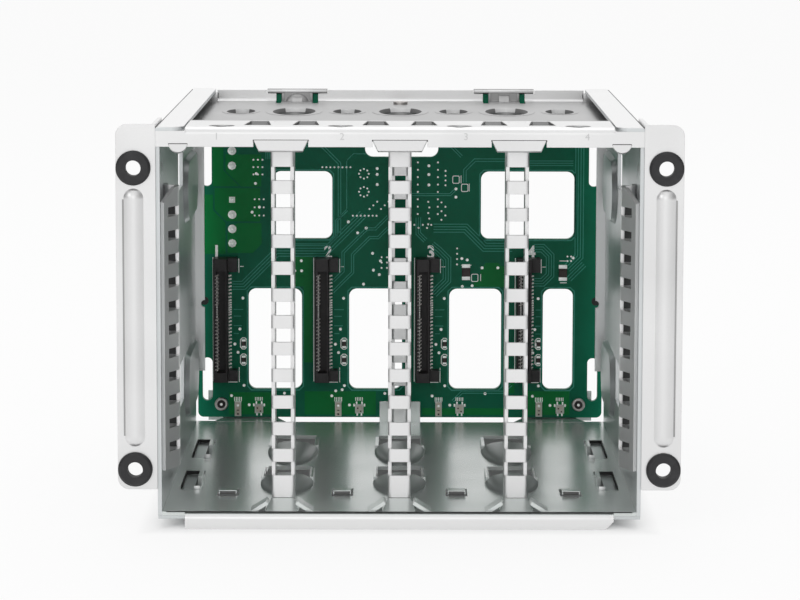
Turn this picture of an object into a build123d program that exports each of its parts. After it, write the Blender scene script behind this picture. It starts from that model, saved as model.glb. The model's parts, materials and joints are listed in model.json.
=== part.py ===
from build123d import *
import os

os.makedirs("parts", exist_ok=True)

# Hot swap drive cage for four drives standing on edge. Sizes are in millimetres.
# The working frame has the front face of the cage at y = 0, the depth along +y,
# the top of the floor at z = 0 and the middle of the cage at x = 0.

# Sheet metal
sheet = 1.2
post_sheet = 1.1
bend = 1.5
near = 0.01

# Overall box of the cage
cage_height = 117.5
floor_depth = 173.0
strip_width = 8.4
lip_drop = 5.2
lip_end_gap = 7.0
lip_corner = 2.5
strip_corner = 3.6

# Drive bays and the dividers between them
bay_count = 4
bay_pitch = 35.8
bay_margin = 1.4
post_width = 7.0
post_front = 12.0
post_depth = 13.0
ladder_pitch = 8.27
ladder_window = 4.25
ladder_count = 12
ladder_drop = 13.0
ladder_bite = 2.2
post_hook_width = 5.0
post_hook_setback = 3.0
post_hook_height = 4.0
post_hook_play = 0.3
rear_post_width = 5.9
rear_post_depth = 4.3

# Roof: front rail, sunk ceiling with drawn windows, rear flange
rail_height = 6.0
rail_flange_depth = 29.0
ceiling_drop = 4.2
rear_flange_gap = 0.3
rail_hole = 7.8
rail_hole_setback = 5.2
finger_offset = 7.3
finger_width = 4.3
finger_mouth = 8.3
finger_length = 18.0
finger_setback = 8.0
finger_dip = 2.0
finger_gap = 0.6
lead_in_top = 16.5
lead_in_bottom = 13.2
lead_in_height = 3.6
lead_in_rise = 1.8
lead_in_angle = 66.0
tongue_width = 5.7
tongue_offset = 5.6
big_window = (15.0, 37.0)
big_window_inset = 46.5
small_window = (10.2, 24.0)
small_window_inset = 47.0
window_rim = 1.3
window_draft = 12.0
roof_screw_head = 5.0
roof_screw_inset = 16.0

# Side walls
guide_bottom = 12.4
guide_drop = 19.0
guide_face = 4.8
guide_start = 3.0
guide_run = 8.5
guide_leg = 6.0
guide_window = 2.9
guide_pitch = 7.2
guide_count = 11
guide_first = 19.2
guide_slant = 6.0
wall_flange_width = 3.3
wall_flange_start = 18.2
wall_notch_z = 42.1
wall_notch_radius = 1.3
lower_wall_slot = (18.2, 32.4)
upper_wall_slot = (27.5, 15.3)
wall_slot_inset = (88.0, 65.0)
lower_boss_z = 21.0
upper_boss_drop = 30.5
wall_boss_size = (56.0, 22.0)
wall_boss_inset = 35.0
wall_boss_height = 1.6
boss_draft = 35.0
wall_foot = 12.0
wall_hole = (6.4, 2.6)
wall_hole_y = 13.5
wall_hole_drop = 13.6
wall_hole_turn = 50.0

# Floor details
dome_width = 16.6
dome_rise = 3.4
dome_lengths = (20.0, 27.0)
floor_windows = ((50.3, 81.0), (110.3, 142.0))
floor_window_width = 14.2
rim_height = 2.0
rim_length = 17.0
bump_width = 5.5
bump_y = (29.0, 41.0)
bump_rise = 1.5
foot_front = 1.6
foot_span = 10.4
foot_rise = 2.4
wing_x = (4.4, 9.4)
wing_y = (2.2, 10.2)
wing_rise = 2.6
wing_hem = 1.0
side_window_x = (3.0, 9.3)
side_windows = ((38.0, 72.0), (96.0, 133.0))
side_hook_rise = 2.2
side_hook_length = 12.0
centre_tab_width = 14.4
centre_tab_height = 7.2
board_tab_inset = (28.5, 8.8)
board_tab_flare = 3.0
board_flange_height = 9.5
board_flange_inset = 3.5

# Ear brackets and their rubber grommets
ear_reach = 12.0
ear_bottom = 7.1
ear_top_rise = 0.8
ear_corner = 3.5
ear_leg = 28.0
bead_width = 6.0
bead_rise = 1.3
bead_inset = (13.2, 19.4)
grommet_offset = 6.7
grommet_inset = (6.2, 13.2)
grommet_outer = 10.5
grommet_waist = 7.6
grommet_bore = 4.7
grommet_rim = 1.4
rivet_y = 8.0
rivet_inset = (5.9, 13.3)
rivet_shank = 1.5
rivet_head = 2.8
rivet_crown = 1.7
rivet_head_height = 0.9

# Backplane board
board_gap = 7.0
board_play = 0.3
board_bottom = 0.3
board_top_gap = 1.7
board_thickness = 2.4
board_corner = 2.0
window_corner = 2.8
lower_window_z = (10.5, 46.6)
lower_windows = ((-0.2, 18.8), (-0.2, 18.6), (-0.4, 18.1), (-2.9, 7.8))
upper_window_z = (64.4, 88.4)
upper_windows = ((-9.2, 11.7), (-7.2, 25.9))
top_notch_x = (-12.5, 13.4)
top_notch_depth = 22.3
edge_slot_inset = (5.2, 1.6)
edge_slot_z = (6.2, 21.7)
edge_notch_depth = 32.8
edge_slot_flat = 0.2
board_screw_inset = 8.3
board_screw_z = 5.0
screw_shank = 1.25
screw_head = 2.4
screw_head_height = 1.0
screw_play = 0.1

# Parts on the board
socket_offset = -12.4
socket_width = 5.2
socket_z = (13.9, 57.9)
socket_depth = 8.4
socket_ends = (3.9, 4.9)
slot_overrun = 0.5
socket_end_width = 8.4
socket_end_step = 3.0
socket_slot = 3.2
socket_slot_start = 1.2
socket_slot_depth = 6.4
contact_width = 0.55
contact_thickness = 0.4
contact_gap = 0.34
socket_corner = 0.4
lead_reach = 1.0
lead_rise = 2.2
lead_counts = (7, 7, 15)
lead_rows = ((1.27, 51.2), (0.85, 42.4), (1.27, 36.1))
header_inset = 12.4
header_drops = ((53.1, 37.6), (25.5, 10.0))
header_body = (9.0, 12.0, 3.2)
header_wall = 1.0
header_base = 2.0
pin_size = 1.1
pins_per_header = 4
cable_socket_x = (-9.6, 9.6)
cable_socket_drop = 17.0
cable_socket_size = (9.4, 11.0, 24.0)
cable_shell = 0.5
insert_play = 0.05
insert_base = 2.4
cable_tongue = (2.2, 8.5, 17.0)
light_x = (-4.2, 3.4)
light_size = ((2.5, 0.9, 4.6), (3.8, 1.2, 3.6))
light_z = 3.4
capacitor_x = -3.1
capacitor_z = (19.4, 25.2)
capacitor_size = (2.2, 0.9, 3.2)

# Latches that hold the top edge of the board
latch_offset = 0.6
latch_width = 10.9
latch_slit = 1.9
latch_bar = 21.1
latch_arm = 10.0
latch_play = 0.3
latch_lip = 1.6
latch_ridge = 3.6
latch_bend = 1.0

# Places worked out from the sizes above
cage_width = bay_count * bay_pitch + bay_margin + 2 * sheet
wall_inside = cage_width / 2 - sheet
ceiling_top = cage_height - ceiling_drop
rail_bottom = cage_height - rail_height
board_y = floor_depth + board_gap
board_back = board_y + board_thickness
board_half = wall_inside - board_play
board_z = (board_bottom, cage_height - board_top_gap)
board_screw_x = board_half - board_screw_inset
board_tab_x = [board_half - inset for inset in board_tab_inset]
edge_slot_x = [board_half - inset for inset in edge_slot_inset]
top_notch_z = board_z[1] - top_notch_depth
edge_notch_z = board_z[1] - edge_notch_depth
header_x = header_inset - board_half
header_pins_z = [[board_z[1] - drop for drop in drops] for drops in header_drops]
cable_socket_z = top_notch_z - cable_socket_drop
ladder_top = cage_height - ladder_drop
guide_z = (guide_bottom, cage_height - guide_drop)
wall_slots = (lower_wall_slot, [cage_height - drop for drop in upper_wall_slot])
wall_slot_y = [floor_depth - inset for inset in wall_slot_inset]
wall_boss_z = (lower_boss_z, cage_height - upper_boss_drop)
ear_z = (ear_bottom, cage_height + ear_top_rise)
bead_z = (ear_z[0] + bead_inset[0], ear_z[1] - bead_inset[1])
grommet_x = cage_width / 2 + grommet_offset
grommet_z = (ear_z[0] + grommet_inset[0], ear_z[1] - grommet_inset[1])
rivet_z = (ear_z[0] + rivet_inset[0], ear_z[1] - rivet_inset[1])
strip_end = board_back + latch_play + sheet
divider_x = [bay_pitch * (i - (bay_count - 2) / 2) for i in range(bay_count - 1)]
bay_x = [bay_pitch * (i - (bay_count - 1) / 2) for i in range(bay_count)]
latch_x = bay_pitch + latch_offset
latch_root = board_y - rear_flange_gap - sheet - latch_arm
whole_depth = board_back + max(header_body[1], cable_socket_size[1])


def slab(x, y, z):
    """Return a block between the two values given on each axis."""
    size = (x[1] - x[0], y[1] - y[0], z[1] - z[0])
    return Pos((x[0] + x[1]) / 2, (y[0] + y[1]) / 2, (z[0] + z[1]) / 2) * Box(*size)


def folded(points, width, thickness=sheet, x=0.0, radius=bend):
    """Return a folded strip that follows points of the y z plane and is width wide in x."""
    path = FilletPolyline(*points, radius=radius) if len(points) > 2 else Line(*points)
    profile = Plane.YZ * trace(path, thickness)
    return Pos(x, 0, 0) * extrude(profile, amount=width / 2, both=True)


def dome(start, end, x):
    """Return the front half of a drawn dome of the floor, and its hollow."""
    run = end - start
    half = dome_width / 2
    front = slab((x - half, x + half), (start, end), (0, dome_rise))
    outer = Pos(x, end, 0) * scale(Sphere(1), by=(half, run, dome_rise))
    inner = Pos(x, end, 0) * scale(Sphere(1), by=(half - sheet, run - sheet, dome_rise - sheet))
    mouth = Pos(x, end, -sheet) * extrude(Ellipse(half - sheet, run - sheet), amount=sheet)
    before = slab((x - half, x + half), (start, end), (-sheet, dome_rise))
    return outer & front, (inner + mouth) & before


def wing(x, side):
    """Return one lug beside a divider's foot, which rises towards the foot and is open in front."""
    level = -sheet / 2
    path = Polyline((x + side * wing_x[0], wing_rise), (x + side * wing_x[1], level),
                    (x + side * (wing_x[1] + wing_hem), level))
    profile = Plane.XZ.offset(-wing_y[0]) * trace(path, sheet)
    return extrude(profile, amount=wing_y[0] - wing_y[1])


def rounded_window(x, z, radius=window_corner):
    """Return a cutter with round corners that passes through the board."""
    outline = RectangleRounded(x[1] - x[0], z[1] - z[0], radius)
    centre = Plane.XZ.offset(-board_y - board_thickness / 2) * Pos((x[0] + x[1]) / 2, (z[0] + z[1]) / 2)
    return extrude(centre * outline, amount=board_thickness, both=True)


def both_sides(make):
    """Return a left and a right copy made from one function that builds the right one."""
    right = make()
    return mirror(right, about=Plane.YZ), right


def divider_base(x):
    """Return what stands on the floor under one divider: window rims, a front foot and wings."""
    base = []
    rim_x = floor_window_width / 2
    for start, end in floor_windows:
        for side in (-1, 1):
            edge = sorted((x + side * rim_x, x + side * (rim_x + sheet)))
            base.append(slab(edge, (start, start + rim_length), (-sheet, rim_height)))
    foot = Plane.XY * make_face(Polyline(
        (x - foot_span / 2, foot_front), (x + foot_span / 2, foot_front),
        (x + post_width / 2, post_front), (x - post_width / 2, post_front), close=True))
    block = extrude(foot, amount=foot_rise)
    slope = Plane.YZ * make_face(Polyline(
        (foot_front, 0), (post_front, foot_rise), (post_front, 0), close=True))
    return base, block & Pos(x, 0, 0) * extrude(slope, amount=foot_span / 2, both=True)


def floor_pan():
    """Build the floor with its front and rear lips, domes, bumps and board tabs."""
    level = -sheet / 2
    lips = [(sheet / 2, -lip_drop), (sheet / 2, level), (floor_depth - sheet / 2, level),
            (floor_depth - sheet / 2, -lip_drop)]
    lip_half = wall_inside - lip_end_gap
    pan = folded(lips, 2 * lip_half)
    for side in (-1, 1):
        edge = sorted((side * lip_half, side * wall_inside))
        pan += slab(edge, (sheet, floor_depth), (-sheet, 0))
    corners = [e for e in pan.edges().filter_by(Axis.Y)
               if e.center().Z < near - lip_drop and e.center().X > 0]
    pan = chamfer(corners, lip_corner)
    for x in divider_x:
        window = (x - floor_window_width / 2, x + floor_window_width / 2)
        for (start, end), length in zip(floor_windows, dome_lengths):
            shell, hollow = dome(start - length, start, x)
            pan = pan + shell - hollow - slab(window, (start, end), (-sheet, 0))
        base, foot = divider_base(x)
        pan = pan + base + foot
        for side in (-1, 1):
            under = sorted((x + side * foot_span / 2, x + side * wing_x[1]))
            pan -= slab(under, wing_y, (-sheet, 0))
            pan += wing(x, side)
    for x in bay_x:
        half = (x - bump_width / 2, x + bump_width / 2)
        pan -= slab((half[0] - sheet / 2, half[1] + sheet / 2), (bump_y[0] - sheet, bump_y[1]), (-sheet, 0))
        bump = [(bump_y[0], level + bump_rise), (bump_y[1] + sheet / 2, level)]
        pan += folded(bump, bump_width, x=x)
    for side in (-1, 1):
        edge = sorted(side * (wall_inside - gap) for gap in side_window_x)
        inner = wall_inside - side_window_x[1]
        hook = sorted((side * inner, side * (inner + sheet)))
        for start, end in side_windows:
            pan -= slab(edge, (start, end), (-sheet, 0))
            middle = (start + end) / 2
            run = (middle - side_hook_length / 2, middle + side_hook_length / 2)
            pan += slab(hook, run, (-sheet, side_hook_rise))
        pan += board_tab(side)
    centre = (-centre_tab_width / 2, centre_tab_width / 2)
    pan += slab(centre, (floor_depth - sheet, floor_depth), (-sheet, centre_tab_height))
    return pan


def board_tab(side):
    """Build one rear tab of the floor: it runs under the board and turns up behind it."""
    start, end = board_tab_x
    outline = Polyline(
        (side * (start - board_tab_flare), floor_depth - sheet),
        (side * start, board_y), (side * start, board_back + sheet),
        (side * end, board_back + sheet), (side * end, board_y),
        (side * (end + board_tab_flare), floor_depth - sheet), close=True)
    neck = Pos(0, 0, -sheet) * extrude(make_face(outline), amount=sheet)
    span = sorted((side * start, side * (board_half - board_flange_inset)))
    flange = slab(span, (board_back, board_back + sheet), (-sheet, board_flange_height))
    hole = Pos(side * board_screw_x, board_back, board_screw_z) * Rot(90, 0, 0)
    return neck + (flange - hole * Cylinder(screw_shank + screw_play, 4 * sheet))


def side_wall():
    """Build the right wall with its top strip, rear flange, foot under the floor, slots and bosses."""
    outer = cage_width / 2
    wall = slab((wall_inside, outer), (sheet, floor_depth), (-sheet, cage_height))
    strip = slab((outer - strip_width, outer), (0, strip_end), (cage_height - sheet, cage_height))
    round_off = [e for e in strip.edges().filter_by(Axis.Z) if e.center().X < wall_inside]
    wall = wall + fillet(round_off, strip_corner)
    top_bend = [e for e in wall.edges().filter_by(Axis.Y)
                if abs(e.center().X - outer) < near and abs(e.center().Z - cage_height) < near]
    wall = fillet(top_bend, bend / 2)
    flange = slab((wall_inside - wall_flange_width, wall_inside), (floor_depth - sheet, floor_depth),
                  (wall_flange_start, ceiling_top - sheet))
    notch = Pos(wall_inside - wall_flange_width, floor_depth, wall_notch_z) * Rot(90, 0, 0)
    wall = wall + (flange - notch * Cylinder(wall_notch_radius, 4 * sheet))
    wall += slab((wall_inside - wall_foot, outer), (2 * sheet, floor_depth - 2 * sheet), (-2 * sheet, -sheet))
    for low, high in wall_slots:
        wall -= slab((wall_inside - sheet, outer + sheet), wall_slot_y, (low, high))
    outline = SlotOverall(*wall_boss_size)
    for z in wall_boss_z:
        place = Pos(floor_depth - wall_boss_inset, z)
        inner = Plane.YZ.offset(wall_inside)
        boss = extrude(inner * place * outline, amount=-wall_boss_height, taper=boss_draft)
        hollow = extrude(Plane.YZ.offset(outer) * place * outline, amount=-wall_boss_height,
                         taper=boss_draft)
        wall = wall + boss - hollow
    for z in rivet_z:
        wall -= Pos(wall_inside, rivet_y, z) * Rot(0, 90, 0) * Cylinder(rivet_shank, 4 * sheet)
    spot = Pos(wall_hole_y, cage_height - wall_hole_drop) * Rot(0, 0, -wall_hole_turn)
    return wall - extrude(Plane.YZ.offset(wall_inside) * spot * SlotOverall(*wall_hole), amount=2 * sheet,
                          both=True)


def guide_strip():
    """Build the right front guide strip: a ramp off the wall with a row of windows."""
    face = wall_inside - guide_face
    start = (wall_inside - post_sheet / 2, guide_start)
    knee = (face + post_sheet / 2, guide_start + guide_run)
    back = (face + post_sheet / 2, guide_start + guide_run + guide_leg)
    foot = (wall_inside - post_sheet / 2, guide_start + guide_run + guide_leg)
    tail = (wall_inside - post_sheet / 2, guide_start + guide_run + 2 * guide_leg)
    profile = trace(FilletPolyline(start, knee, back, foot, tail, radius=post_sheet), post_sheet)
    strip = Pos(0, 0, guide_z[0]) * extrude(profile, amount=guide_z[1] - guide_z[0])
    strip = strip & slab((face - sheet, wall_inside), (0, floor_depth), guide_z)
    across = (face - sheet, wall_inside - post_sheet)
    along = (guide_start + 2 * sheet, guide_start + guide_run + guide_leg / 2)
    for i in range(guide_count):
        z = guide_first + guide_pitch * i
        strip -= slab(across, along, (z - guide_window / 2, z + guide_window / 2))
    slant = Plane.YZ * make_face(Polyline(
        (0, guide_z[1] - guide_slant), (0, guide_z[1] + sheet),
        (guide_start + guide_run, guide_z[1] + sheet), close=True))
    return strip - Pos(face - sheet, 0, 0) * extrude(slant, amount=guide_face + 2 * sheet)


def lead_in(x):
    """Build the trapezoid lead in that is folded out of the rail above one divider."""
    top = rail_bottom + lead_in_rise
    shape = make_face(Polyline(
        (-lead_in_top / 2, 0), (lead_in_top / 2, 0),
        (lead_in_bottom / 2, -lead_in_height), (-lead_in_bottom / 2, -lead_in_height), close=True))
    place = Location((x, sheet, top), (lead_in_angle, 0, 0))
    return place * extrude(shape, amount=sheet)


def tongue(side):
    """Build the half round lead in tongue of the rail beside one wall."""
    x = side * (wall_inside - tongue_offset)
    shape = Circle(tongue_width / 2) & Pos(0, -tongue_width / 2) * Rectangle(tongue_width, tongue_width)
    place = Location((x, sheet, rail_bottom + sheet / 2), (lead_in_angle, 0, 0))
    return place * extrude(shape, amount=sheet)


def roof_finger(x):
    """Build one spring finger, which dips forward from its root at the rear of its cut."""
    high = cage_height - sheet / 2
    root = finger_setback + finger_length
    path = [(finger_setback + sheet, high - finger_dip), (root, high), (root + sheet, high)]
    return folded(path, finger_width, x=x, radius=sheet / 2)


def ceiling_window(size, x, y):
    """Return the cutter and the drawn rim of one window of the ceiling."""
    low = ceiling_top - sheet
    outline = Pos(x, y) * SlotOverall(size[1], size[0], 90)
    cutter = Pos(0, 0, low - window_rim) * extrude(outline, amount=window_rim + 2 * sheet)
    skirt = Pos(x, y) * SlotOverall(size[1] + 2 * sheet, size[0] + 2 * sheet, 90)
    rim = Pos(0, 0, low) * extrude(skirt, amount=-window_rim, taper=window_draft)
    return cutter, rim


def top_plate():
    """Build the roof: rail face and flange, sunk ceiling, rear flange and side flanges."""
    high = cage_height - sheet / 2
    low = ceiling_top - sheet / 2
    flange_y = board_y - sheet / 2
    step = rail_flange_depth
    path = [(sheet / 2, rail_bottom), (sheet / 2, high), (step, high), (step + ceiling_drop, low),
            (flange_y, low), (flange_y, cage_height - rear_flange_gap)]
    centre_half = cage_width / 2 - strip_width - sheet / 2
    plate = folded(path, 2 * centre_half)
    for side in (-1, 1):
        inner, outer = side * centre_half, side * wall_inside
        edge = sorted((inner, outer))
        under = cage_height - sheet
        lap = sorted((inner - side * sheet, outer))
        plate += slab(lap, (sheet, step), (under - sheet, under))
        plate += slab(sorted((inner, side * cage_width / 2)), (0, sheet), (rail_bottom, under))
        plate += slab(edge, (step - sheet, step), (ceiling_top - sheet, under))
        plate += slab(edge, (step - sheet, board_y), (ceiling_top - sheet, ceiling_top))
        plate += slab(sorted((outer - side * sheet, outer)), (step, board_y - bend), (ceiling_top, under))
    for x in bay_x:
        hole = Pos(x, rail_hole_setback, high) * Cylinder(rail_hole / 2, 2 * sheet)
        cutter, rim = ceiling_window(small_window, x, floor_depth - small_window_inset)
        plate = plate - hole + rim - cutter
    for x in divider_x:
        cutter, rim = ceiling_window(big_window, x, floor_depth - big_window_inset)
        plate = plate + rim - cutter
        slot_y = post_front + post_depth - post_hook_setback
        half = post_hook_width / 2 + post_hook_play
        reach = post_sheet / 2 + post_hook_play
        plate -= slab((x - half, x + half), (slot_y - reach, slot_y + reach), (high - sheet, high + sheet))
        for side in (-1, 1):
            centre = x + side * finger_offset
            cut = make_face(Polyline(
                (centre - finger_mouth / 2, finger_setback), (centre + finger_mouth / 2, finger_setback),
                (centre + finger_width / 2 + finger_gap, finger_setback + finger_length),
                (centre - finger_width / 2 - finger_gap, finger_setback + finger_length), close=True))
            plate = plate - Pos(0, 0, high - sheet) * extrude(cut, amount=2 * sheet)
            plate = plate + roof_finger(centre)
        bite = (x - lead_in_top / 2, x + lead_in_top / 2)
        plate = plate - slab(bite, (-sheet, sheet), (rail_bottom, rail_bottom + lead_in_rise)) + lead_in(x)
    for side in (-1, 1):
        plate += tongue(side)
        opening = latch_width / 2 + latch_slit
        x = side * latch_x
        plate -= slab((x - opening, x + opening), (latch_root, board_y + sheet), (0, cage_height + sheet))
        bar = latch_bar / 2 + latch_play
        plate -= slab((x - bar, x + bar), (board_y - 2 * sheet, board_y + sheet),
                      (cage_height - sheet - latch_play, cage_height + sheet))
    plate -= Pos(0, board_y - roof_screw_inset, ceiling_top) * Cylinder(screw_shank + screw_play, 4 * sheet)
    return plate


def ladder(front, half, count=ladder_count):
    """Return the window cutters of a ladder post whose front face lies at a depth."""
    cuts = []
    for i in range(count):
        top = ladder_top - ladder_pitch * i
        across = (-half - sheet, half + sheet)
        cuts.append(slab(across, (front - sheet, front + ladder_bite), (top - ladder_window, top)))
    return cuts


def channel(width, depth, height):
    """Build an upright channel of thin sheet that is open to the rear."""
    half = width / 2
    inner = half - post_sheet
    block = slab((-half, half), (0, depth), (0, height))
    front = [e for e in block.edges().filter_by(Axis.Z) if e.center().Y < near]
    block = fillet(front, post_sheet)
    return block - slab((-inner, inner), (post_sheet, depth), (0, height))


def divider(x):
    """Build one divider post with its ladder of windows and the hooks of its top."""
    top = cage_height - sheet
    post = Pos(0, post_front, 0) * channel(post_width, post_depth, top)
    slot_y = post_front + post_depth - post_hook_setback
    across = (slot_y - post_sheet / 2, slot_y + post_sheet / 2)
    post += slab((-post_width / 2, post_width / 2), across, (top - post_hook_height, top))
    post += slab((-post_hook_width / 2, post_hook_width / 2), across, (top, cage_height))
    return Pos(x, 0, 0) * (post - ladder(post_front, post_width / 2))


def rear_post():
    """Build the slim ladder post that stands behind the middle divider."""
    front = floor_depth - sheet - rear_post_depth
    post = Pos(0, front, 0) * channel(rear_post_width, rear_post_depth, ceiling_top - sheet)
    return post - ladder(front, rear_post_width / 2)


def bead(back):
    """Return the rounded ridge of an ear, on a face that lies back by a distance."""
    half = bead_width / 2
    radius = (half ** 2 + bead_rise ** 2) / (2 * bead_rise)
    low, high = bead_z[0] + half, bead_z[1] - half
    ridge = Cylinder(radius, high - low)
    for end in (low - high, high - low):
        ridge += Pos(0, 0, end / 2) * Sphere(radius)
    ridge = Pos(grommet_x, back + radius - bead_rise, (low + high) / 2) * ridge
    return ridge & slab((grommet_x - half, grommet_x + half), (back - bead_rise, back), bead_z)


def ear_bracket():
    """Build the right ear bracket: a flanged plate with a bead and two grommet holes."""
    outer = cage_width / 2
    plate = slab((outer, outer + ear_reach), (0, sheet), ear_z)
    corners = [e for e in plate.edges().filter_by(Axis.Y) if e.center().X > outer + near]
    plate = fillet(corners, ear_corner)
    plate += slab((outer, outer + sheet), (0, ear_leg), ear_z)
    plate = plate + bead(0) - bead(sheet)
    for z in grommet_z:
        plate -= Pos(grommet_x, 0, z) * Rot(90, 0, 0) * Cylinder(grommet_waist / 2, 4 * sheet)
    for z in rivet_z:
        plate -= Pos(outer, rivet_y, z) * Rot(0, 90, 0) * Cylinder(rivet_shank, 4 * sheet)
    return plate


def grommet(x, z):
    """Build one rubber grommet that is snapped into an ear."""
    bore, waist, outer = grommet_bore / 2, grommet_waist / 2, grommet_outer / 2
    back = sheet + grommet_rim
    crown = grommet_rim / 2
    outline = Polyline(
        (bore, -grommet_rim), (outer - crown, -grommet_rim), (outer, -crown), (outer, 0),
        (waist, 0), (waist, sheet), (outer, sheet), (outer, back - crown),
        (outer - crown, back), (bore, back), close=True)
    return Pos(x, 0, z) * revolve(make_face(outline), Axis.Y)


def rivets(side):
    """Build the rivets that hold one ear bracket to its wall, flush inside the cage."""
    inner, outer = wall_inside, cage_width / 2 + sheet
    group = []
    for z in rivet_z:
        outline = Polyline(
            (0, inner), (rivet_shank, inner), (rivet_shank, outer), (rivet_head, outer),
            (rivet_crown, outer + rivet_head_height), (0, outer + rivet_head_height), close=True)
        solid = revolve(make_face(outline), Axis.Y)
        group.append(Pos(0, rivet_y, z) * Rot(0, 0, -90 * side) * solid)
    return Compound(group)


def backplane_board():
    """Build the circuit board that carries the drive sockets."""
    half = board_half
    width, height = 2 * half, board_z[1] - board_z[0]
    face = Plane.XZ.offset(-board_y) * Pos(0, (board_z[0] + board_z[1]) / 2)
    board = extrude(face * RectangleRounded(width, height, board_corner), amount=-board_thickness)
    for x, (left, right) in zip(bay_x, lower_windows):
        board -= rounded_window((x + left, x + right), lower_window_z)
    for x, (left, right) in zip((divider_x[0], divider_x[-1]), upper_windows):
        board -= rounded_window((x + left, x + right), upper_window_z)
    board -= rounded_window(top_notch_x, (top_notch_z, board_z[1] + 2 * window_corner))
    slot_corner = (edge_slot_x[1] - edge_slot_x[0] - edge_slot_flat) / 2
    for side in (-1, 1):
        span = sorted(side * x for x in edge_slot_x)
        board -= rounded_window(span, edge_slot_z, slot_corner)
        board -= rounded_window(span, (edge_notch_z, board_z[1] + 2 * window_corner), slot_corner)
        hole = Pos(side * board_screw_x, board_y, board_screw_z) * Rot(90, 0, 0)
        board -= hole * Cylinder(screw_shank + screw_play, 4 * board_thickness)
    return board


def board_screws():
    """Build the two screws that clamp the board to the rear tabs of the floor."""
    length = board_thickness + sheet
    group = []
    for side in (-1, 1):
        head = Cylinder(screw_head, screw_head_height)
        head = fillet(head.edges().group_by(Axis.Z)[-1], screw_head_height / 2)
        head = Pos(0, 0, screw_head_height / 2) * head
        shank = Pos(0, 0, -length / 2) * Cylinder(screw_shank, length)
        place = Pos(side * board_screw_x, board_y, board_screw_z) * Rot(90, 0, 0)
        group.append(place * (head + shank))
    return Compound(group)


def roof_screw():
    """Build the screw in the middle of the ceiling, near its rear flange."""
    head = Cylinder(roof_screw_head / 2, screw_head_height)
    head = fillet(head.edges().group_by(Axis.Z)[-1], screw_head_height / 2)
    head = Pos(0, 0, screw_head_height / 2) * head
    shank = Pos(0, 0, -sheet) * Cylinder(screw_shank, 2 * sheet)
    return Pos(0, board_y - roof_screw_inset, ceiling_top) * (head + shank)


def drive_socket(x):
    """Build one upright drive socket: a slim slotted body with two wider ends."""
    low, high = socket_z
    front = board_y - socket_depth
    body = slab((0, socket_width), (front, board_y), (low, high))
    rim = [e for e in body.edges().filter_by(Axis.Z) if e.center().Y < front + near]
    body = chamfer(rim, socket_corner)
    for z in ((low, low + socket_ends[0]), (high - socket_ends[1], high)):
        body += slab((0, socket_end_width), (front + socket_end_step, board_y), z)
    body -= slab((socket_slot_start, socket_slot_start + socket_slot), (front, front + socket_slot_depth),
                 (low + socket_ends[0] - slot_overrun, high - socket_ends[1] + slot_overrun))
    return Pos(x, 0, 0) * body


def socket_contacts(x):
    """Build the sprung contacts in a drive socket's slot and their feet on the board."""
    front = board_y - socket_depth
    blade = (socket_slot_start, socket_slot_start + contact_thickness)
    along = (front + contact_width, front + socket_slot_depth)
    side, foot_end = socket_width, socket_width + lead_reach
    foot = make_face(Polyline(
        (side, board_y), (foot_end, board_y), (foot_end, board_y - contact_thickness),
        (side + contact_thickness, board_y - contact_thickness),
        (side + contact_thickness, board_y - lead_rise), (side, board_y - lead_rise), close=True))
    group = []
    for count, (pitch, top) in zip(lead_counts, lead_rows):
        for i in range(count):
            z = top - pitch * i
            half = min(contact_width, pitch - contact_gap) / 2
            group.append(slab(blade, along, (z - half, z + half)))
            group.append(Pos(0, 0, z - half) * extrude(foot, amount=2 * half))
    return Compound([Pos(x, 0, 0) * piece for piece in group])


def power_header(pins_z):
    """Build one power header on the back of the board: an open housing."""
    width, depth, margin = header_body
    low, high = pins_z[0] - margin, pins_z[1] + margin
    shell = slab((header_x - width / 2, header_x + width / 2), (board_back, board_back + depth), (low, high))
    shell = fillet(shell.edges().filter_by(Axis.Y), header_wall)
    inner = width / 2 - header_wall
    return shell - slab((header_x - inner, header_x + inner),
                        (board_back + header_base, board_back + depth),
                        (low + header_wall, high - header_wall))


def header_pins(pins_z):
    """Build the pins of one power header."""
    pitch = (pins_z[1] - pins_z[0]) / (pins_per_header - 1)
    start = board_back + header_base
    end = board_back + header_body[1] - header_wall
    half = pin_size / 2
    group = []
    for i in range(pins_per_header):
        z = pins_z[0] + pitch * i
        pin = slab((header_x - half, header_x + half), (start, end), (z - half, z + half))
        tip = pin.faces().sort_by(Axis.Y)[-1].edges()
        group.append(chamfer(tip, pin_size / 4))
    return Compound(group)


def cable_socket(x):
    """Build the metal shell of one cable socket on the back of the board."""
    width, depth, height = cable_socket_size
    low, high = cable_socket_z - height / 2, cable_socket_z + height / 2
    shell = slab((x - width / 2, x + width / 2), (board_back, board_back + depth), (low, high))
    shell = fillet(shell.edges().filter_by(Axis.Y), 2 * cable_shell)
    inner = width / 2 - cable_shell
    return shell - slab((x - inner, x + inner), (board_back, board_back + depth),
                        (low + cable_shell, high - cable_shell))


def cable_insert(x):
    """Build the plastic core of one cable socket: a base that carries a thin tongue."""
    width, depth, height = cable_socket_size
    inner = width / 2 - cable_shell - insert_play
    reach = height / 2 - cable_shell - insert_play
    base = slab((x - inner, x + inner), (board_back, board_back + insert_base),
                (cable_socket_z - reach, cable_socket_z + reach))
    thick, long, tall = cable_tongue
    tongue_block = slab((x - thick / 2, x + thick / 2), (board_back, board_back + long),
                        (cable_socket_z - tall / 2, cable_socket_z + tall / 2))
    return base + tongue_block


def indicator_lights():
    """Build the small light parts near the bottom edge of the board, two for each bay."""
    group = []
    for x in bay_x:
        for offset, (width, depth, height) in zip(light_x, light_size):
            group.append(slab((x + offset - width / 2, x + offset + width / 2), (board_y - depth, board_y),
                              (light_z - height / 2, light_z + height / 2)))
    return Compound(group)


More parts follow.
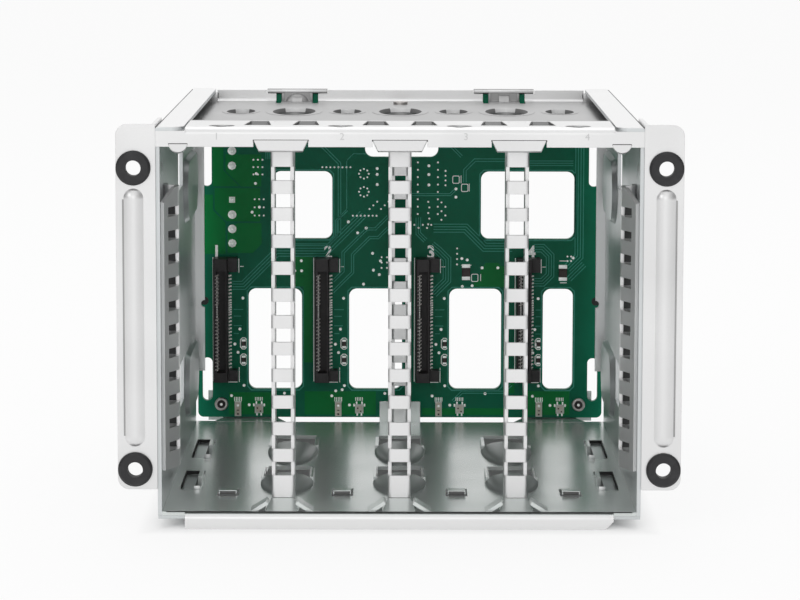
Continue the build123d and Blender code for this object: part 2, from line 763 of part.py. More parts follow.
def board_capacitors():
    """Build the pairs of small capacitors beside the drive sockets."""
    width, depth, height = capacitor_size
    group = []
    for x in bay_x:
        left = x + capacitor_x
        for z in capacitor_z:
            group.append(slab((left, left + width), (board_y - depth, board_y), (z, z + height)))
    return Compound(group)


def latch(side):
    """Build one board latch: an arm in the ceiling, an upright tab and a bar with a lip."""
    low, high = ceiling_top - sheet / 2, cage_height - sheet / 2
    tab_y = board_y - rear_flange_gap - latch_play - sheet / 2
    back = board_back + latch_play + sheet / 2
    x = side * latch_x
    arm = folded([(latch_root + latch_play, low), (tab_y, low), (tab_y, high), (tab_y + 2 * sheet, high)],
                 latch_width, x=x, radius=latch_bend)
    bar = folded([(tab_y + sheet / 2, high), (back, high), (back, high - sheet / 2 - latch_lip)],
                 latch_bar, x=x, radius=latch_bend)
    rib = Plane.YZ * make_face(Polyline(
        (tab_y - latch_ridge, low), (tab_y, low), (tab_y, high - sheet / 2), close=True))
    return arm + bar + Pos(x, 0, 0) * extrude(rib, amount=latch_ridge / 2, both=True)


left_wall, right_wall = both_sides(side_wall)
left_guide, right_guide = both_sides(guide_strip)
left_ear, right_ear = both_sides(ear_bracket)

nodes = {
    "floor_pan": floor_pan(),
    "left_side_wall": left_wall,
    "right_side_wall": right_wall,
    "top_plate": top_plate(),
    "left_guide_strip": left_guide,
    "right_guide_strip": right_guide,
    "left_ear_bracket": left_ear,
    "right_ear_bracket": right_ear,
    "left_ear_rivets": rivets(-1),
    "right_ear_rivets": rivets(1),
    "rear_post": rear_post(),
    "latch_left": latch(-1),
    "latch_right": latch(1),
    "backplane_board": backplane_board(),
    "board_screws": board_screws(),
    "roof_screw": roof_screw(),
    "indicator_lights": indicator_lights(),
    "board_capacitors": board_capacitors(),
}
for side, word in ((-1, "left"), (1, "right")):
    for z, level in zip(grommet_z, ("lower", "upper")):
        nodes[f"{word}_{level}_grommet"] = grommet(side * grommet_x, z)
for i, x in enumerate(divider_x, start=1):
    nodes[f"divider_{i}"] = divider(x)
for i, x in enumerate(bay_x, start=1):
    nodes[f"drive_socket_{i}"] = drive_socket(x + socket_offset)
    nodes[f"socket_contacts_{i}"] = socket_contacts(x + socket_offset)
for i, pins_z in enumerate(header_pins_z, start=1):
    nodes[f"power_header_{i}"] = power_header(pins_z)
    nodes[f"header_pins_{i}"] = header_pins(pins_z)
for i, x in enumerate(cable_socket_x, start=1):
    nodes[f"cable_socket_{i}"] = cable_socket(x)
    nodes[f"cable_insert_{i}"] = cable_insert(x)

# The finished cage stands on z = 0, with the middle of its depth at y = 0
front_reach = grommet_rim
place = Location((0, (front_reach - whole_depth) / 2, lip_drop))
for name, shape in nodes.items():
    export_step(place * shape, f"parts/{name}.step")
print(len(nodes), "nodes, shift", tuple(round(v, 3) for v in place.position))
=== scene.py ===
"""Looks of a hot swap drive cage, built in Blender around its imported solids.

Places on the cage are written in millimetres from its own datum: x from the middle,
y back from the front face and z up from the top of the floor.
"""

import json
import logging
import math
from collections.abc import Callable, Iterable, Sequence
from dataclasses import dataclass, field
from enum import Enum

import bmesh
import bpy
from mathutils import Matrix, Vector

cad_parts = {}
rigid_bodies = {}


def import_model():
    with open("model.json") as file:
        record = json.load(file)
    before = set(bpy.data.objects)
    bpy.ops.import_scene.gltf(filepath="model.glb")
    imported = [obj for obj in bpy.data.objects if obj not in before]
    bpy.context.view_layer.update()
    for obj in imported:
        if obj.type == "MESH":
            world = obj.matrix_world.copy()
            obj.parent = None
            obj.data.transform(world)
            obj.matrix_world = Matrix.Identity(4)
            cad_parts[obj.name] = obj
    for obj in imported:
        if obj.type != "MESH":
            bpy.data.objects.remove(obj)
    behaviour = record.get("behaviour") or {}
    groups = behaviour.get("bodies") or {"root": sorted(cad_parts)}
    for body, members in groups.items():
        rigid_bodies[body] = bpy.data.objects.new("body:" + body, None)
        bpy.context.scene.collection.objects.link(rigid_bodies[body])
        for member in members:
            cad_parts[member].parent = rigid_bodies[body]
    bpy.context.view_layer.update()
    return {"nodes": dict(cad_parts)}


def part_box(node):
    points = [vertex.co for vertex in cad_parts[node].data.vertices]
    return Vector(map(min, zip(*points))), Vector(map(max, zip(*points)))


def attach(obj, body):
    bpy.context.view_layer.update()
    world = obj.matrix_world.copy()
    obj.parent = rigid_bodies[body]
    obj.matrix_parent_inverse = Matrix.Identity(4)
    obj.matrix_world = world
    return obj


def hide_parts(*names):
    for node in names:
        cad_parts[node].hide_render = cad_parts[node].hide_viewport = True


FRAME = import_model()
MM = 0.001
LOG = logging.getLogger("drive_cage")

Colour = tuple[float, float, float]
Spot = tuple[float, float]
Socket = bpy.types.NodeSocket

BAY_X: tuple[float, ...] = (-53.7, -17.9, 17.9, 53.7)
SIDES: Spot = (-1.0, 1.0)
TO_FRONT = (math.pi / 2, 0.0, 0.0)
DOUBLES = 0.01 * MM


class Body(Enum):
    """Bodies of the cage that pieces ride on."""

    CAGE = "cage"
    LATCH_LEFT = "latch_left"
    LATCH_RIGHT = "latch_right"


class Slot(Enum):
    """Material slots of the record, one of which each piece names."""

    ZINC = "zinc_steel"
    BOARD = "board_green"
    CONTACT = "tinned_contact"
    LIGHT = "light_body"
    CAPACITOR = "capacitor_body"
    SCREW = "screw_steel"


@dataclass(frozen=True)
class Datum:
    """The cage's own origin in the frame, in metres."""

    front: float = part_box("left_side_wall")[0].y
    floor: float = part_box("divider_1")[0].z

    def at(self, x: float, y: float, z: float) -> Vector:
        """Place a point of the cage in the frame.

        Args:
            x: Millimetres from the middle.
            y: Millimetres behind the front face.
            z: Millimetres above the floor.

        Returns:
            The point in metres.
        """
        return Vector((x * MM, self.front + y * MM, self.floor + z * MM))

    def back(self, point: Vector) -> Vector:
        """Return a point of the frame as millimetres on the cage."""
        return Vector((point.x, point.y - self.front, point.z - self.floor)) / MM


DATUM = Datum()


class Wiring:
    """The nodes of one tree and the links between them."""

    def __init__(self, tree: bpy.types.NodeTree) -> None:
        """Take the tree to work in."""
        self.tree = tree

    def node(self, kind: str) -> bpy.types.Node:
        """Add a node of a kind and return it."""
        return self.tree.nodes.new(kind)

    def join(self, source: Socket, target: Socket) -> None:
        """Link an output to an input."""
        self.tree.links.new(source, target)

    def compute(self, operation: str, *values: Socket | float) -> Socket:
        """Add one step of arithmetic.

        Args:
            operation: The math node's operation.
            values: Its inputs in order, each a socket or a number.

        Returns:
            The result socket.
        """
        step = self.node("ShaderNodeMath")
        step.operation = operation
        for value, target in zip(values, step.inputs):
            if isinstance(value, Socket):
                self.join(value, target)
            else:
                target.default_value = value
        return step.outputs[0]

    def along(self, place: Socket, axis: str) -> Socket:
        """Take one axis out of a place.

        Args:
            place: Socket of the place.
            axis: X, Y or Z.

        Returns:
            The axis's socket.
        """
        split = self.node("ShaderNodeSeparateXYZ")
        self.join(place, split.inputs[0])
        return split.outputs[axis]

    def spread(self, source: Socket, low: float, high: float, start: float = 0.3, end: float = 0.7) -> Socket:
        """Map a factor to a range.

        Args:
            source: The factor.
            low: Result at the start and before it.
            high: Result at the end and after it.
            start: Factor at which the range starts.
            end: Factor at which the range ends.

        Returns:
            The result socket.
        """
        ranged = self.node("ShaderNodeMapRange")
        for key, value in (("From Min", start), ("From Max", end), ("To Min", low), ("To Max", high)):
            ranged.inputs[key].default_value = value
        self.join(source, ranged.inputs["Value"])
        return ranged.outputs["Result"]


class Recipe(Wiring):
    """One material under construction: a principled shader and what feeds it."""

    def __init__(self, name: str, **settings: float | tuple) -> None:
        """Start a material.

        Args:
            name: The material's name.
            settings: Shader inputs that are the same all over, with _ for a space.
        """
        self.material = bpy.data.materials.new(name)
        self.material.use_nodes = True
        super().__init__(self.material.node_tree)
        self.tree.nodes.clear()
        self.shader = self.node("ShaderNodeBsdfPrincipled")
        output = self.node("ShaderNodeOutputMaterial")
        self.join(self.shader.outputs["BSDF"], output.inputs["Surface"])
        self.place = self.node("ShaderNodeTexCoord").outputs["Object"]
        for key, value in settings.items():
            self.shader.inputs[key.replace("_", " ")].default_value = value

    def feed(self, source: Socket, name: str) -> None:
        """Join a socket to one of the shader's inputs."""
        self.join(source, self.shader.inputs[name])

    def noise(self, grain: float, detail: float = 2.0, scale: Sequence[float] = (1.0, 1.0, 1.0)) -> Socket:
        """Return a noise whose features are about grain millimetres across.

        Args:
            grain: Size of the features in millimetres.
            detail: Octaves of the noise.
            scale: Stretch per axis, where under 1 makes the grain longer.

        Returns:
            The factor socket.
        """
        mapping = self.node("ShaderNodeMapping")
        mapping.inputs["Scale"].default_value = scale
        self.join(self.place, mapping.inputs["Vector"])
        noise = self.node("ShaderNodeTexNoise")
        noise.inputs["Scale"].default_value = 1.0 / (grain * MM)
        noise.inputs["Detail"].default_value = detail
        self.join(mapping.outputs["Vector"], noise.inputs["Vector"])
        return noise.outputs["Fac"]

    def blend(self, factor: Socket, first: Colour | Socket, second: Colour | Socket) -> Socket:
        """Mix two colours by a factor.

        Args:
            factor: Share of the second colour.
            first: A colour or its socket.
            second: A colour or its socket.

        Returns:
            The mixed colour's socket.
        """
        mix = self.node("ShaderNodeMix")
        mix.data_type = "RGBA"
        self.join(factor, mix.inputs["Factor"])
        for socket, value in zip([s for s in mix.inputs if s.type == "RGBA"], (first, second)):
            if isinstance(value, Socket):
                self.join(value, socket)
            else:
                socket.default_value = (*value, 1.0)
        return next(s for s in mix.outputs if s.type == "RGBA")

    def band(self, axis: str, start: float, end: float, blur: float = 0.3) -> Socket:
        """Mark a band across the cage.

        Args:
            axis: X, Y or Z.
            start: Where the band starts on the cage, in millimetres.
            end: Where it ends.
            blur: Width of its soft edges in millimetres.

        Returns:
            A socket that is 1 in the band and 0 elsewhere.
        """
        place = self.along(self.place, axis)
        steps = []
        for low, high, edge in ((0.0, 1.0, start), (1.0, 0.0, end)):
            line = getattr(DATUM.at(edge, edge, edge), axis.lower())
            steps.append(self.spread(place, low, high, line, line + blur * MM))
        return self.compute("MULTIPLY", *steps)

    def bump(self, height: Socket, depth: float) -> None:
        """Raise the surface by a height map, over earlier bumps.

        Args:
            height: The height map's socket.
            depth: Height of the map in millimetres at most.
        """
        bump = self.node("ShaderNodeBump")
        bump.inputs["Strength"].default_value = 1.0
        bump.inputs["Distance"].default_value = depth * MM
        self.join(height, bump.inputs["Height"])
        normal = self.shader.inputs["Normal"]
        if normal.is_linked:
            self.join(normal.links[0].from_socket, bump.inputs["Normal"])
        self.feed(bump.outputs["Normal"], "Normal")

    def soften(self, radius: float) -> None:
        """Round the edges that light catches.

        Args:
            radius: Radius of the edges in millimetres.
        """
        bevel = self.node("ShaderNodeBevel")
        bevel.samples = 4
        bevel.inputs["Radius"].default_value = radius * MM
        self.feed(bevel.outputs["Normal"], "Normal")


@dataclass(frozen=True)
class SheetFinish:
    """Zinc plated sheet: satin metal with a fine grain, cloudy patches and bands of painted light and shade."""

    name: str
    bright: Colour
    dull: Colour
    roughness: tuple[float, float]
    metallic: float = 0.9
    edge: float = 0.22
    grain_depth: float = 0.0012
    zones: tuple[tuple[str, float, float, Colour], ...] = ()
    cloud_size: float = 34.0
    fleck_size: float = 0.6
    fleck_share: float = 0.3

    def make(self) -> bpy.types.Material:
        """Mix the finish.

        Returns:
            The material.
        """
        recipe = Recipe(self.name, Metallic=self.metallic)
        recipe.soften(self.edge)
        cloud = recipe.noise(self.cloud_size)
        fleck = recipe.noise(self.fleck_size)
        tint = recipe.blend(recipe.spread(cloud, 0.0, 1.0), self.bright, self.dull)
        tone = recipe.blend(recipe.spread(fleck, 0.0, self.fleck_share), tint, self.dull)
        # Each band paints a lighter colour as painted light, or a darker one as painted shade.
        for *place, colour in self.zones:
            tone = recipe.blend(recipe.band(*place), tone, colour)
        recipe.feed(tone, "Base Color")
        recipe.feed(recipe.spread(cloud, *self.roughness), "Roughness")
        recipe.bump(fleck, self.grain_depth)
        return recipe.material


@dataclass(frozen=True)
class PlatedFinish:
    """Small plated metal parts such as pins, screws, shells and solder."""

    name: str
    colour: Colour
    dull: Colour
    roughness: tuple[float, float]
    metallic: float = 1.0
    # Strength of a faint glow of painted light.
    lift: float = 0.0
    wear_size: float = 0.8
    pit_size: float = 0.3
    pit_depth: float = 0.01

    def make(self) -> bpy.types.Material:
        """Mix the finish.

        Returns:
            The material.
        """
        recipe = Recipe(self.name, Metallic=self.metallic, Emission_Color=(*self.colour, 1.0),
                        Emission_Strength=self.lift)
        wear = recipe.noise(self.wear_size, 3.0)
        recipe.feed(recipe.blend(recipe.spread(wear, 0.0, 1.0), self.colour, self.dull), "Base Color")
        recipe.feed(recipe.spread(wear, *self.roughness), "Roughness")
        recipe.bump(recipe.noise(self.pit_size), self.pit_depth)
        return recipe.material


@dataclass(frozen=True)
class MouldedFinish:
    """Moulded rubber or plastic with a fine texture."""

    name: str
    colour: Colour
    pale: Colour
    roughness: tuple[float, float]
    texture: float = 0.25
    depth: float = 0.015
    edge: float = 0.12
    dust_size: float = 3.0
    dust_span: Spot = (0.45, 0.75)

    def make(self) -> bpy.types.Material:
        """Mix the finish.

        Returns:
            The material.
        """
        recipe = Recipe(self.name)
        recipe.soften(self.edge)
        dust = recipe.noise(self.dust_size, 4.0)
        share = recipe.spread(dust, 0.0, 1.0, *self.dust_span)
        recipe.feed(recipe.blend(share, self.colour, self.pale), "Base Color")
        recipe.feed(recipe.spread(dust, *self.roughness), "Roughness")
        recipe.bump(recipe.noise(self.texture, 3.0), self.depth)
        return recipe.material


@dataclass(frozen=True)
class MaskFinish:
    """Solder mask over glass cloth, or over copper where it looks brighter."""

    name: str
    deep: Colour
    light: Colour
    weave: float
    cloud_size: float = 22.0
    thread_size: float = 0.5
    thread_depth: float = 0.01
    roughness: Spot = (0.38, 0.5)

    def make(self) -> bpy.types.Material:
        """Mix the finish.

        Returns:
            The material.
        """
        recipe = Recipe(self.name, Coat_Weight=0.08, Coat_Roughness=0.22, Specular_IOR_Level=0.15)
        cloud = recipe.noise(self.cloud_size, 3.0)
        threads = recipe.noise(self.thread_size, 1.0, (1.0, 1.0, 0.35))
        tone = recipe.blend(recipe.spread(cloud, 0.0, 1.0), self.deep, self.light)
        recipe.feed(recipe.blend(recipe.spread(threads, 0.0, self.weave), tone, self.light), "Base Color")
        recipe.feed(recipe.spread(threads, *self.roughness), "Roughness")
        recipe.bump(threads, self.thread_depth)
        return recipe.material


@dataclass(frozen=True)
class InkFinish:
    """Printed ink or paint, slightly uneven."""

    name: str
    colour: Colour
    thin: Colour
    # Strength of a faint glow of painted light.
    lift: float = 0.0
    speckle_size: float = 0.4
    speckle_depth: float = 0.005
    speckle_span: Spot = (0.55, 0.75)

    def make(self) -> bpy.types.Material:
        """Mix the finish.

        Returns:
            The material.
        """
        recipe = Recipe(self.name, Roughness=0.6, Emission_Color=(*self.colour, 1.0), Emission_Strength=self.lift)
        speckle = recipe.noise(self.speckle_size, 3.0)
        share = recipe.spread(speckle, 0.0, 1.0, *self.speckle_span)
        recipe.feed(recipe.blend(share, self.colour, self.thin), "Base Color")
        recipe.bump(speckle, self.speckle_depth)
        return recipe.material


class Finishes:
    """Every finish of the cage, made once."""

    def __init__(self) -> None:
        """Make the materials."""
        self.sheet = SheetFinish("zinc_sheet", (0.84, 0.84, 0.84), (0.77, 0.77, 0.77), (0.3, 0.36), 0.8).make()
        # The roof is darker behind its front flange: painted shade.
        self.roof = SheetFinish("zinc_roof_shaded", (0.84, 0.84, 0.84), (0.77, 0.77, 0.77), (0.3, 0.36), 0.8,
                                zones=(("Y", 26.4, 178.0, (0.4, 0.4, 0.4)),)).make()
        # The floor is a darker, greenish zinc: painted shade and a painted reflection of the green board. Its front
        # lip is lighter: painted light.
        self.floor = SheetFinish("zinc_floor_shaded", (0.74, 0.78, 0.765), (0.68, 0.72, 0.705), (0.22, 0.27), 0.62,
                                 zones=(("Y", -9.0, 0.3, (0.84, 0.84, 0.84)),)).make()
        # The domes are a dark zinc: painted shade.
        self.dome = SheetFinish("zinc_dome_shaded", (0.4, 0.42, 0.415), (0.34, 0.36, 0.355), (0.36, 0.44), 0.6).make()
        # The walls are a darker, greenish zinc: painted shade and a painted reflection of the green board. They are
        # lighter along the top edge and in a band near the back: painted light.
        self.wall = SheetFinish("zinc_wall_shaded", (0.7, 0.73, 0.735), (0.64, 0.665, 0.67), (0.28, 0.34), 0.7,
                                zones=(("Z", 117.2, 140.0, (0.86, 0.86, 0.86)),
                                       ("Y", 171.4, 174.4, (0.84, 0.85, 0.85)))).make()
        # Grey spring steel of the latches, also used for dark creases and slots that are painted shade.
        self.spring = SheetFinish("spring_steel_and_shade", (0.4, 0.4, 0.4), (0.34, 0.34, 0.34), (0.38, 0.44), 0.7).make()
        self.rubber = MouldedFinish("grommet_rubber", (0.016, 0.016, 0.018), (0.035, 0.035, 0.037), (0.5, 0.65)).make()
        self.black = MouldedFinish("socket_plastic", (0.02, 0.016, 0.018), (0.042, 0.034, 0.036), (0.36, 0.5)).make()
        self.nylon = MouldedFinish("header_nylon", (0.76, 0.74, 0.66), (0.84, 0.83, 0.78), (0.4, 0.5)).make()
        self.lens = MouldedFinish("lens_plastic", (0.72, 0.66, 0.54), (0.8, 0.78, 0.7), (0.25, 0.35)).make()
        self.pad = MouldedFinish("pale_pad", (0.74, 0.77, 0.72), (0.82, 0.84, 0.78), (0.4, 0.5)).make()
        self.chip = MouldedFinish("chip_body", (0.045, 0.03, 0.026), (0.09, 0.07, 0.06), (0.4, 0.5)).make()
        self.mask = MaskFinish("solder_mask", (0.0008, 0.165, 0.082), (0.0015, 0.205, 0.11), 0.2).make()
        self.copper = MaskFinish("mask_on_copper", (0.0005, 0.235, 0.05), (0.001, 0.27, 0.065), 0.12).make()
        self.track = MaskFinish("mask_on_track", (0.06, 0.4, 0.29), (0.09, 0.46, 0.34), 0.1).make()
        # The white ink glows faintly: painted light.
        self.ink = InkFinish("white_ink", (0.95, 0.97, 0.95), (0.6, 0.7, 0.65), 0.16).make()
        # Grey of the stamped bay numbers, also the lighter painted shade at the rear of the collars.
        self.mark = InkFinish("stamped_mark_and_shade", (0.62, 0.62, 0.62), (0.68, 0.68, 0.68)).make()
        # Dark marks of painted shade in the slits, gaps and holes.
        self.slit = InkFinish("slit_shade", (0.022, 0.022, 0.022), (0.045, 0.045, 0.045)).make()
        # Dark plates of painted shade: over the roof fingers, in the collars, behind the guide windows, along the wall
        # tops and on the floor.
        self.leaf = SheetFinish("shade_plate_steel", (0.17, 0.17, 0.17), (0.13, 0.13, 0.13), (0.5, 0.56), 0.3).make()
        # The solder glows faintly: painted light.
        self.solder = PlatedFinish("solder", (0.92, 0.94, 0.92), (0.72, 0.75, 0.72), (0.25, 0.4), 0.35, 0.2).make()
        self.contact = PlatedFinish("tinned_contact", (0.96, 0.95, 0.92), (0.82, 0.81, 0.78), (0.22, 0.35), 0.4).make()
        self.lead = MouldedFinish("contact_edge", (0.5, 0.46, 0.44), (0.6, 0.56, 0.53), (0.35, 0.45)).make()
        self.shell = PlatedFinish("nickel_shell", (0.72, 0.71, 0.68), (0.6, 0.6, 0.58), (0.22, 0.36)).make()
        self.screw = PlatedFinish("screw_plating", (0.58, 0.56, 0.54), (0.4, 0.38, 0.37), (0.3, 0.45)).make()
        # Dark recess of the board screws: painted shade.
        self.rust = PlatedFinish("screw_recess", (0.045, 0.04, 0.04), (0.03, 0.027, 0.027), (0.45, 0.6), 0.4).make()


def dress(node: str, material: bpy.types.Material) -> None:
    """Give a CAD node a material.

    Args:
        node: The node's name.
        material: Its material.
    """
    piece = FRAME["nodes"][node]
    if not piece.material_slots:
        piece.data.materials.append(material)
    for slot in piece.material_slots:
        slot.material = material
    LOG.info("dressed %s with %s", node, material.name)


class Bench:
    """Modelling moves that the sub-assemblies share."""

    @staticmethod
    def clear() -> None:
        """Leave edit mode and select nothing."""
        if bpy.context.mode != "OBJECT":
            bpy.ops.object.mode_set(mode="OBJECT")
        bpy.ops.object.select_all(action="DESELECT")

    @staticmethod
    def pick(test: Callable[[bmesh.types.BMFace], bool]) -> None:
        """Select some faces of the mesh in edit mode, and no others.

        Args:
            test: Says whether a face is wanted.
        """
        mesh = bmesh.from_edit_mesh(bpy.context.object.data)
        bpy.ops.mesh.select_all(action="DESELECT")
        bpy.ops.mesh.select_mode(type="FACE")
        for face in mesh.faces:
            face.select_set(bool(test(face)))
        bmesh.update_edit_mesh(bpy.context.object.data)

    @staticmethod
    def front(face: bmesh.types.BMFace) -> bool:
        """Say whether a face looks to the front."""
        return face.normal.y < -0.9

    @staticmethod
    def paint(piece: bpy.types.Object, slot: int) -> None:
        """Give the selected faces one of the piece's materials."""
        piece.active_material_index = slot
        bpy.ops.object.material_slot_assign()

    @staticmethod
    def coat(piece: bpy.types.Object, materials: Iterable[bpy.types.Material]) -> None:
        """Give a piece several materials, in order."""
        for material in materials:
            piece.data.materials.append(material)

    @staticmethod
    def pull(x: float, y: float, z: float) -> None:
        """Extrude the selected faces by a step in millimetres."""
        bpy.ops.mesh.extrude_region_move(TRANSFORM_OT_translate={"value": (x * MM, y * MM, z * MM)})

    def begin(self, name: str, make: Callable, **options: object) -> bpy.types.Object:
        """Add a primitive and enter edit mode on it.

        Args:
            name: The piece's name.
            make: The operator that adds the primitive.
            options: The operator's settings.

        Returns:
            The new object.
        """
        self.clear()
        make(**options)
        piece = bpy.context.object
        piece.name = piece.data.name = name
        bpy.ops.object.transform_apply(location=True, rotation=True, scale=True)
        bpy.ops.object.mode_set(mode="EDIT")
        return piece

    def cube(self, name: str, middle: Sequence[float], size: Sequence[float],
             materials: Iterable[bpy.types.Material] = ()) -> bpy.types.Object:
        """Begin a piece with a block.

        Args:
            name: The piece's name.
            middle: Its middle, in metres.
            size: Its size in millimetres.
            materials: Its materials, when it has more than one.

        Returns:
            The new object.
        """
        piece = self.begin(name, bpy.ops.mesh.primitive_cube_add, size=MM, location=middle, scale=size)
        self.coat(piece, materials)
        return piece

    def disc(self, name: str, sides: int, radius: float, rise: float) -> bpy.types.Object:
        """Begin a piece with a flat disc that stands proud to the front, about the frame's origin.

        Args:
            name: The piece's name.
            sides: Number of its sides.
            radius: Its radius in millimetres.
            rise: Its thickness in millimetres.

        Returns:
            The new object.
        """
        return self.begin(name, bpy.ops.mesh.primitive_cylinder_add, vertices=sides, radius=radius * MM,
                          depth=rise * MM, location=(0.0, -rise * MM / 2, 0.0), rotation=TO_FRONT)

    @staticmethod
    def block(x: Spot, y: Spot, z: Spot, slot: int = 0) -> None:
        """Add a block to the mesh in edit mode and leave only it selected.

        Args:
            x: Where it starts and ends from left to right, in millimetres.
            y: Where it starts and ends from front to back, in millimetres.
            z: Where it starts and ends from bottom to top, in millimetres.
            slot: Index of the piece's material that it takes.
        """
        bpy.ops.mesh.select_all(action="DESELECT")
        spans = (x, y, z)
        bpy.ops.mesh.primitive_cube_add(size=MM, location=[(a + b) / 2 * MM for a, b in spans],
                                        scale=[b - a for a, b in spans])
        Bench.paint(bpy.context.object, slot)

    def modify(self, piece: bpy.types.Object, kind: str, **settings: object) -> None:
        """Add a modifier to a piece and apply it.

        Args:
            piece: The piece.
            kind: The modifier's type.
            settings: Its settings.
        """
        self.clear()
        bpy.context.view_layer.objects.active = piece
        piece.select_set(True)
        modifier = piece.modifiers.new(kind.lower(), kind)
        for key, value in settings.items():
            setattr(modifier, key, value)
        bpy.ops.object.modifier_apply(modifier=modifier.name)

    def bevel(self, piece: bpy.types.Object, width: float, **limits: float) -> None:
        """Round a piece's sharp edges by a width in millimetres."""
        self.modify(piece, "BEVEL", width=width * MM, segments=2, limit_method="ANGLE", **limits)

    def mirror(self, piece: bpy.types.Object) -> None:
        """Add a piece's image on the other side of the cage."""
        self.modify(piece, "MIRROR", use_axis=(True, False, False), use_bisect_axis=(False, False, False))

    def tidy(self, piece: bpy.types.Object, smooth: float | None = 30.0) -> None:
        """Merge doubles, turn the faces outwards and smooth the shallow edges.

        Args:
            piece: The piece.
            smooth: Angle in degrees under which an edge is smoothed, or None for flat faces.
        """
        self.clear()
        bpy.context.view_layer.objects.active = piece
        piece.select_set(True)
        bpy.ops.object.mode_set(mode="EDIT")
        bpy.ops.mesh.select_all(action="SELECT")
        bpy.ops.mesh.remove_doubles(threshold=DOUBLES)
        bpy.ops.mesh.normals_make_consistent(inside=False)
        bpy.ops.object.mode_set(mode="OBJECT")
        if smooth is not None:
            bpy.ops.object.shade_smooth_by_angle(angle=math.radians(smooth))

    def finish(self, piece: bpy.types.Object, material: bpy.types.Material, slot: Slot,
               body: Body = Body.CAGE, replaces: Sequence[str] = ()) -> bpy.types.Object:
        """Dress a finished piece and set it on its body.

        Args:
            piece: The finished object, with its place in its mesh.
            material: Its material, for slots that hold none yet.
            slot: The record's slot that it belongs to. Not used.
            body: The body it rides on.
            replaces: CAD nodes that it stands for.

        Returns:
            The piece.
        """
        self.clear()
        if not piece.data.materials:
            piece.data.materials.append(material)
        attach(piece, body.value)
        if replaces:
            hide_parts(*replaces)
        LOG.info("built %s, %d faces, rides on %s", piece.name, len(piece.data.polygons), body.value)
        return piece

    def repeat(self, master: bpy.types.Object, moves: Iterable[Vector]) -> bpy.types.Object:
        """Copy a piece to several places and join the copies, without the master itself.

        Args:
            master: The piece modelled once, about the frame's origin.
            moves: Where each copy goes, in metres.

        Returns:
            One object that holds all the copies.
        """
        self.clear()
        name = master.name
        copies = []
        for move in moves:
            copy = master.copy()
            copy.data = master.data.copy()
            copy.data.transform(Matrix.Translation(move))
            bpy.context.scene.collection.objects.link(copy)
            copies.append(copy)
        bpy.data.objects.remove(master)
        for copy in copies:
            copy.select_set(True)
        bpy.context.view_layer.objects.active = copies[0]
        if len(copies) > 1:
            bpy.ops.object.join()
        copies[0].name = copies[0].data.name = name
        return copies[0]

    def sketch(self, name: str) -> bpy.types.Object:
        """Begin an empty piece to draw in.

        Args:
            name: The piece's name.

        Returns:
            The new object.
        """
        piece = self.begin(name, bpy.ops.mesh.primitive_plane_add, size=MM)
        bpy.ops.mesh.delete(type="VERT")
        return piece

    @staticmethod
    def trace(corners: Sequence[Vector]) -> None:
        """Draw a line in the mesh in edit mode, and leave its last corner selected.

        Args:
            corners: Its corners, in metres.
        """
        bpy.ops.mesh.select_mode(type="VERT")
        bpy.ops.mesh.select_all(action="DESELECT")
        bpy.ops.mesh.primitive_plane_add(size=0.1 * MM, location=corners[0])
        bpy.ops.mesh.merge(type="CENTER")
        for start, end in zip(corners, corners[1:]):
            bpy.ops.mesh.extrude_vertices_move(TRANSFORM_OT_translate={"value": end - start})

    def lines(self, name: str, runs: Iterable[Sequence[Spot]], y: float, width: float,
              rise: float, closed: bool = False) -> bpy.types.Object:
        """Draw flat lines on a face that looks to the front.

        Args:
            name: The piece's name.
            runs: The corners of each line, as x and z in millimetres.
            y: Depth of the face that carries them, in millimetres.
            width: Width of the lines in millimetres.
            rise: How far they stand proud, in millimetres.
            closed: Whether each line joins its own start.

        Returns:
            The object, in object mode.
        """
        piece = self.sketch(name)
        for run in runs:
            corners = [DATUM.at(x, y, z) for x, z in run]
            self.trace(corners + corners[:1] if closed else corners)
        bpy.ops.mesh.select_all(action="SELECT")
        bpy.ops.mesh.remove_doubles(threshold=DOUBLES)
        bpy.ops.mesh.select_mode(type="EDGE")
        bpy.ops.mesh.select_all(action="SELECT")
        bpy.ops.mesh.extrude_edges_move(TRANSFORM_OT_translate={"value": (0.0, -rise * MM, 0.0)})
        self.modify(piece, "SOLIDIFY", thickness=width * MM, offset=0.0, use_even_offset=True)
        self.tidy(piece, None)
        return piece

    def areas(self, name: str, outlines: Iterable[Sequence[Spot]], y: float, rise: float) -> bpy.types.Object:
        """Lay flat areas on a face that looks to the front.

        Args:
            name: The piece's name.
            outlines: The corners of each area, as x and z in millimetres.
            y: Depth of the face that carries them, in millimetres.
            rise: How far they stand proud, in millimetres.

        Returns:
            The object, in object mode.
        """
        piece = self.sketch(name)
        for outline in outlines:
            self.trace([DATUM.at(x, y, z) for x, z in outline])
            bpy.ops.mesh.select_linked()
            bpy.ops.mesh.edge_face_add()
        bpy.ops.mesh.select_all(action="SELECT")
        self.pull(0.0, -rise, 0.0)
        self.tidy(piece, None)
        return piece

